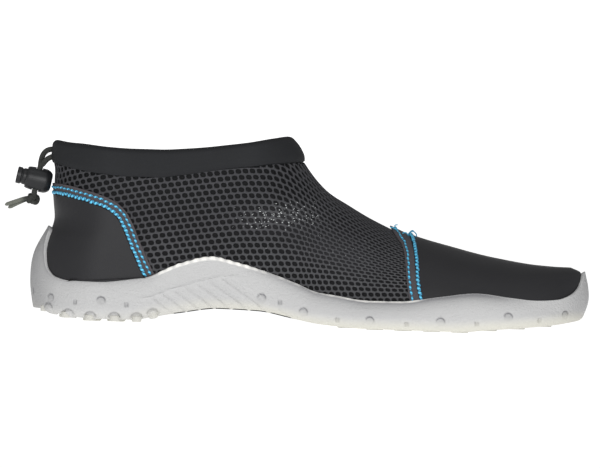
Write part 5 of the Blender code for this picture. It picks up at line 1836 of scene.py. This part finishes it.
class SHOE_OT_stitches(bpy.types.Operator):
    """Adds the double rows of thread along the vamp tape and the counter"""

    bl_idname = "shoe.stitches"
    bl_label = "Stitches"

    def execute(self, context):
        last = Last()
        seams = Seams(last)
        thread = finish_of("bonded_thread", thread_finish)
        tape_top = FIT_GAP + sizes().tape
        cloth_top = FIT_GAP + sizes().overlay
        vamp = []
        for distance, rise in zip(VAMP_ROWS, (tape_top, cloth_top)):
            vamp += self.add_row(self.vamp_line(last, seams, distance, rise), distance > 0)
        vamp += self.add_loose_ends(last, seams, tape_top)
        finish_piece(join("vamp_thread", vamp), BODY, "seam_trim", thread)
        counter = []
        for distance in COUNTER_ROWS:
            for side in SIDES:
                line = self.counter_line(last, seams, side, distance, tape_top)
                counter += self.add_row(line, distance == COUNTER_ROWS[0])
        finish_piece(join("counter_thread", counter), BODY, "seam_trim", thread)
        return {"FINISHED"}

    def vamp_line(self, last, seams, distance, rise):
        halves = []
        for side in SIDES:
            u, q = seams.vamp_line(side, np.linspace(0.0, 1, 120), distance)
            lifted = last.at(side, u, q, rise)
            halves.append((lifted, unit(last.at(side, u, q, rise + 1.0) - lifted)))
        points = np.concatenate((halves[0][0], halves[1][0][-2::-1]))
        normals = np.concatenate((halves[0][1], halves[1][1][-2::-1]))
        return points, normals

    def counter_line(self, last, seams, side, distance, rise):
        reach = seams.counter_fan(side, 240, distance)
        u, z = seams.fan_place(seams.fan_turns(240), reach)
        q = last.height_share(u, z)
        keep = z > edge_height(u, side) + 0.6 * MM
        lifted = last.at(side, u[keep], q[keep], rise)
        return lifted, unit(last.at(side, u[keep], q[keep], rise + 1.0) - lifted)

    def add_row(self, line, thick):
        """Stitches laid end to end along a line, each a short plump strand."""
        points, normals = line
        draw = np.random.default_rng(len(points))
        walked = stepped_lengths(points, 0)
        pitch = sizes().stitch * (0.82 if thick else 1.0)
        count = int(walked[-1] / pitch)
        where = (np.arange(count) + 0.5) * walked[-1] / count
        centre = read_along(where, walked, points)
        normal = unit(read_along(where, walked, normals))
        tangent = unit(read_along(where, walked, np.gradient(points, axis=0)))
        made = []
        for k in range(count):
            width = sizes().thread * (1.45 if thick else 1.12) * draw.uniform(0.9, 1.15)
            slant = math.radians(draw.normal(24 if thick else 6, 5))
            across = np.cross(normal[k], tangent[k])
            along = tangent[k] * math.cos(slant) + across * math.sin(slant)
            side_way = np.cross(normal[k], along)
            basis = Matrix((along, side_way, normal[k])).transposed().to_4x4()
            length = pitch * (1.30 if thick else 0.93) * draw.uniform(0.95, 1.08)
            scale = Matrix.Diagonal((length / 2, width / 2, width * 0.45, 1.0))
            aside = across * draw.normal(0, 0.09) * MM
            place = Matrix.Translation(centre[k] + normal[k] * width * 0.18 + aside)
            made.append(place @ basis @ scale)
        return [self.add_stitches(made)]

    def add_loose_ends(self, last, seams, rise):
        """Thread ends left long where the rows cross the instep, and one small loop."""
        made = []
        for distance, reach in LOOSE_ENDS:
            u, q = seams.vamp_line(INNER, np.array([0.86]), distance)
            foot = last.at(INNER, u, q, rise)[0]
            bends = [foot + np.array(step) * MM for step in reach]
            made.append(add_tube("thread_end", smooth_line(bends, 20), 0.28 * MM, 8))
        return made

    def add_stitches(self, places):
        deselect()
        bpy.ops.mesh.primitive_uv_sphere_add(segments=10, ring_count=8, radius=1.0,
                                             rotation=(0.0, math.pi / 2, 0.0))
        model = bpy.context.object
        bpy.ops.object.transform_apply(location=False, rotation=True, scale=False)
        co = vertex_array(model.data)
        # A strand is full along its middle and dips where the needle went through
        plump = np.sign(co[:, 0]) * np.abs(co[:, 0]) ** 0.8
        set_vertices(model.data, np.stack((plump, co[:, 1], co[:, 2]), 1))
        made = []
        for place in places:
            copy = new_object("stitch", model.data.copy())
            copy.data.transform(place)
            made.append(copy)
        bpy.data.objects.remove(model)
        return join("stitch_row", made)


class SHOE_PT_panel(bpy.types.Panel):
    """Lists the shoe's pieces in the order in which they are made"""

    bl_idname = "SHOE_PT_panel"
    bl_label = "Water shoe"
    bl_space_type = "VIEW_3D"
    bl_region_type = "UI"
    bl_category = "Shoe"

    def draw(self, context):
        for operator in OPERATORS:
            self.layout.operator(operator.bl_idname)
        for group in (context.scene.shoe_sizes, context.scene.shoe_colours):
            for name in group.bl_rna.properties.keys():
                if name not in ("rna_type", "name"):
                    self.layout.prop(group, name)


OPERATORS = (SHOE_OT_stage, SHOE_OT_lock, SHOE_OT_cords, SHOE_OT_upper, SHOE_OT_overlays,
             SHOE_OT_collar, SHOE_OT_sole, SHOE_OT_stitches)
CLASSES = (ShoeSizes, ShoeColours, *OPERATORS, SHOE_PT_panel)


def register():
    for cls in CLASSES:
        bpy.utils.register_class(cls)
    bpy.types.Scene.shoe_sizes = bpy.props.PointerProperty(type=ShoeSizes)
    bpy.types.Scene.shoe_colours = bpy.props.PointerProperty(type=ShoeColours)


def unregister():
    del bpy.types.Scene.shoe_sizes
    del bpy.types.Scene.shoe_colours
    for cls in reversed(CLASSES):
        bpy.utils.unregister_class(cls)


def main():
    register()
    bpy.ops.shoe.stage()
    bpy.ops.shoe.lock()
    bpy.ops.shoe.cords()
    bpy.ops.shoe.upper()
    bpy.ops.shoe.overlays()
    bpy.ops.shoe.collar()
    bpy.ops.shoe.sole()
    bpy.ops.shoe.stitches()


if __name__ == "__main__":
    main()
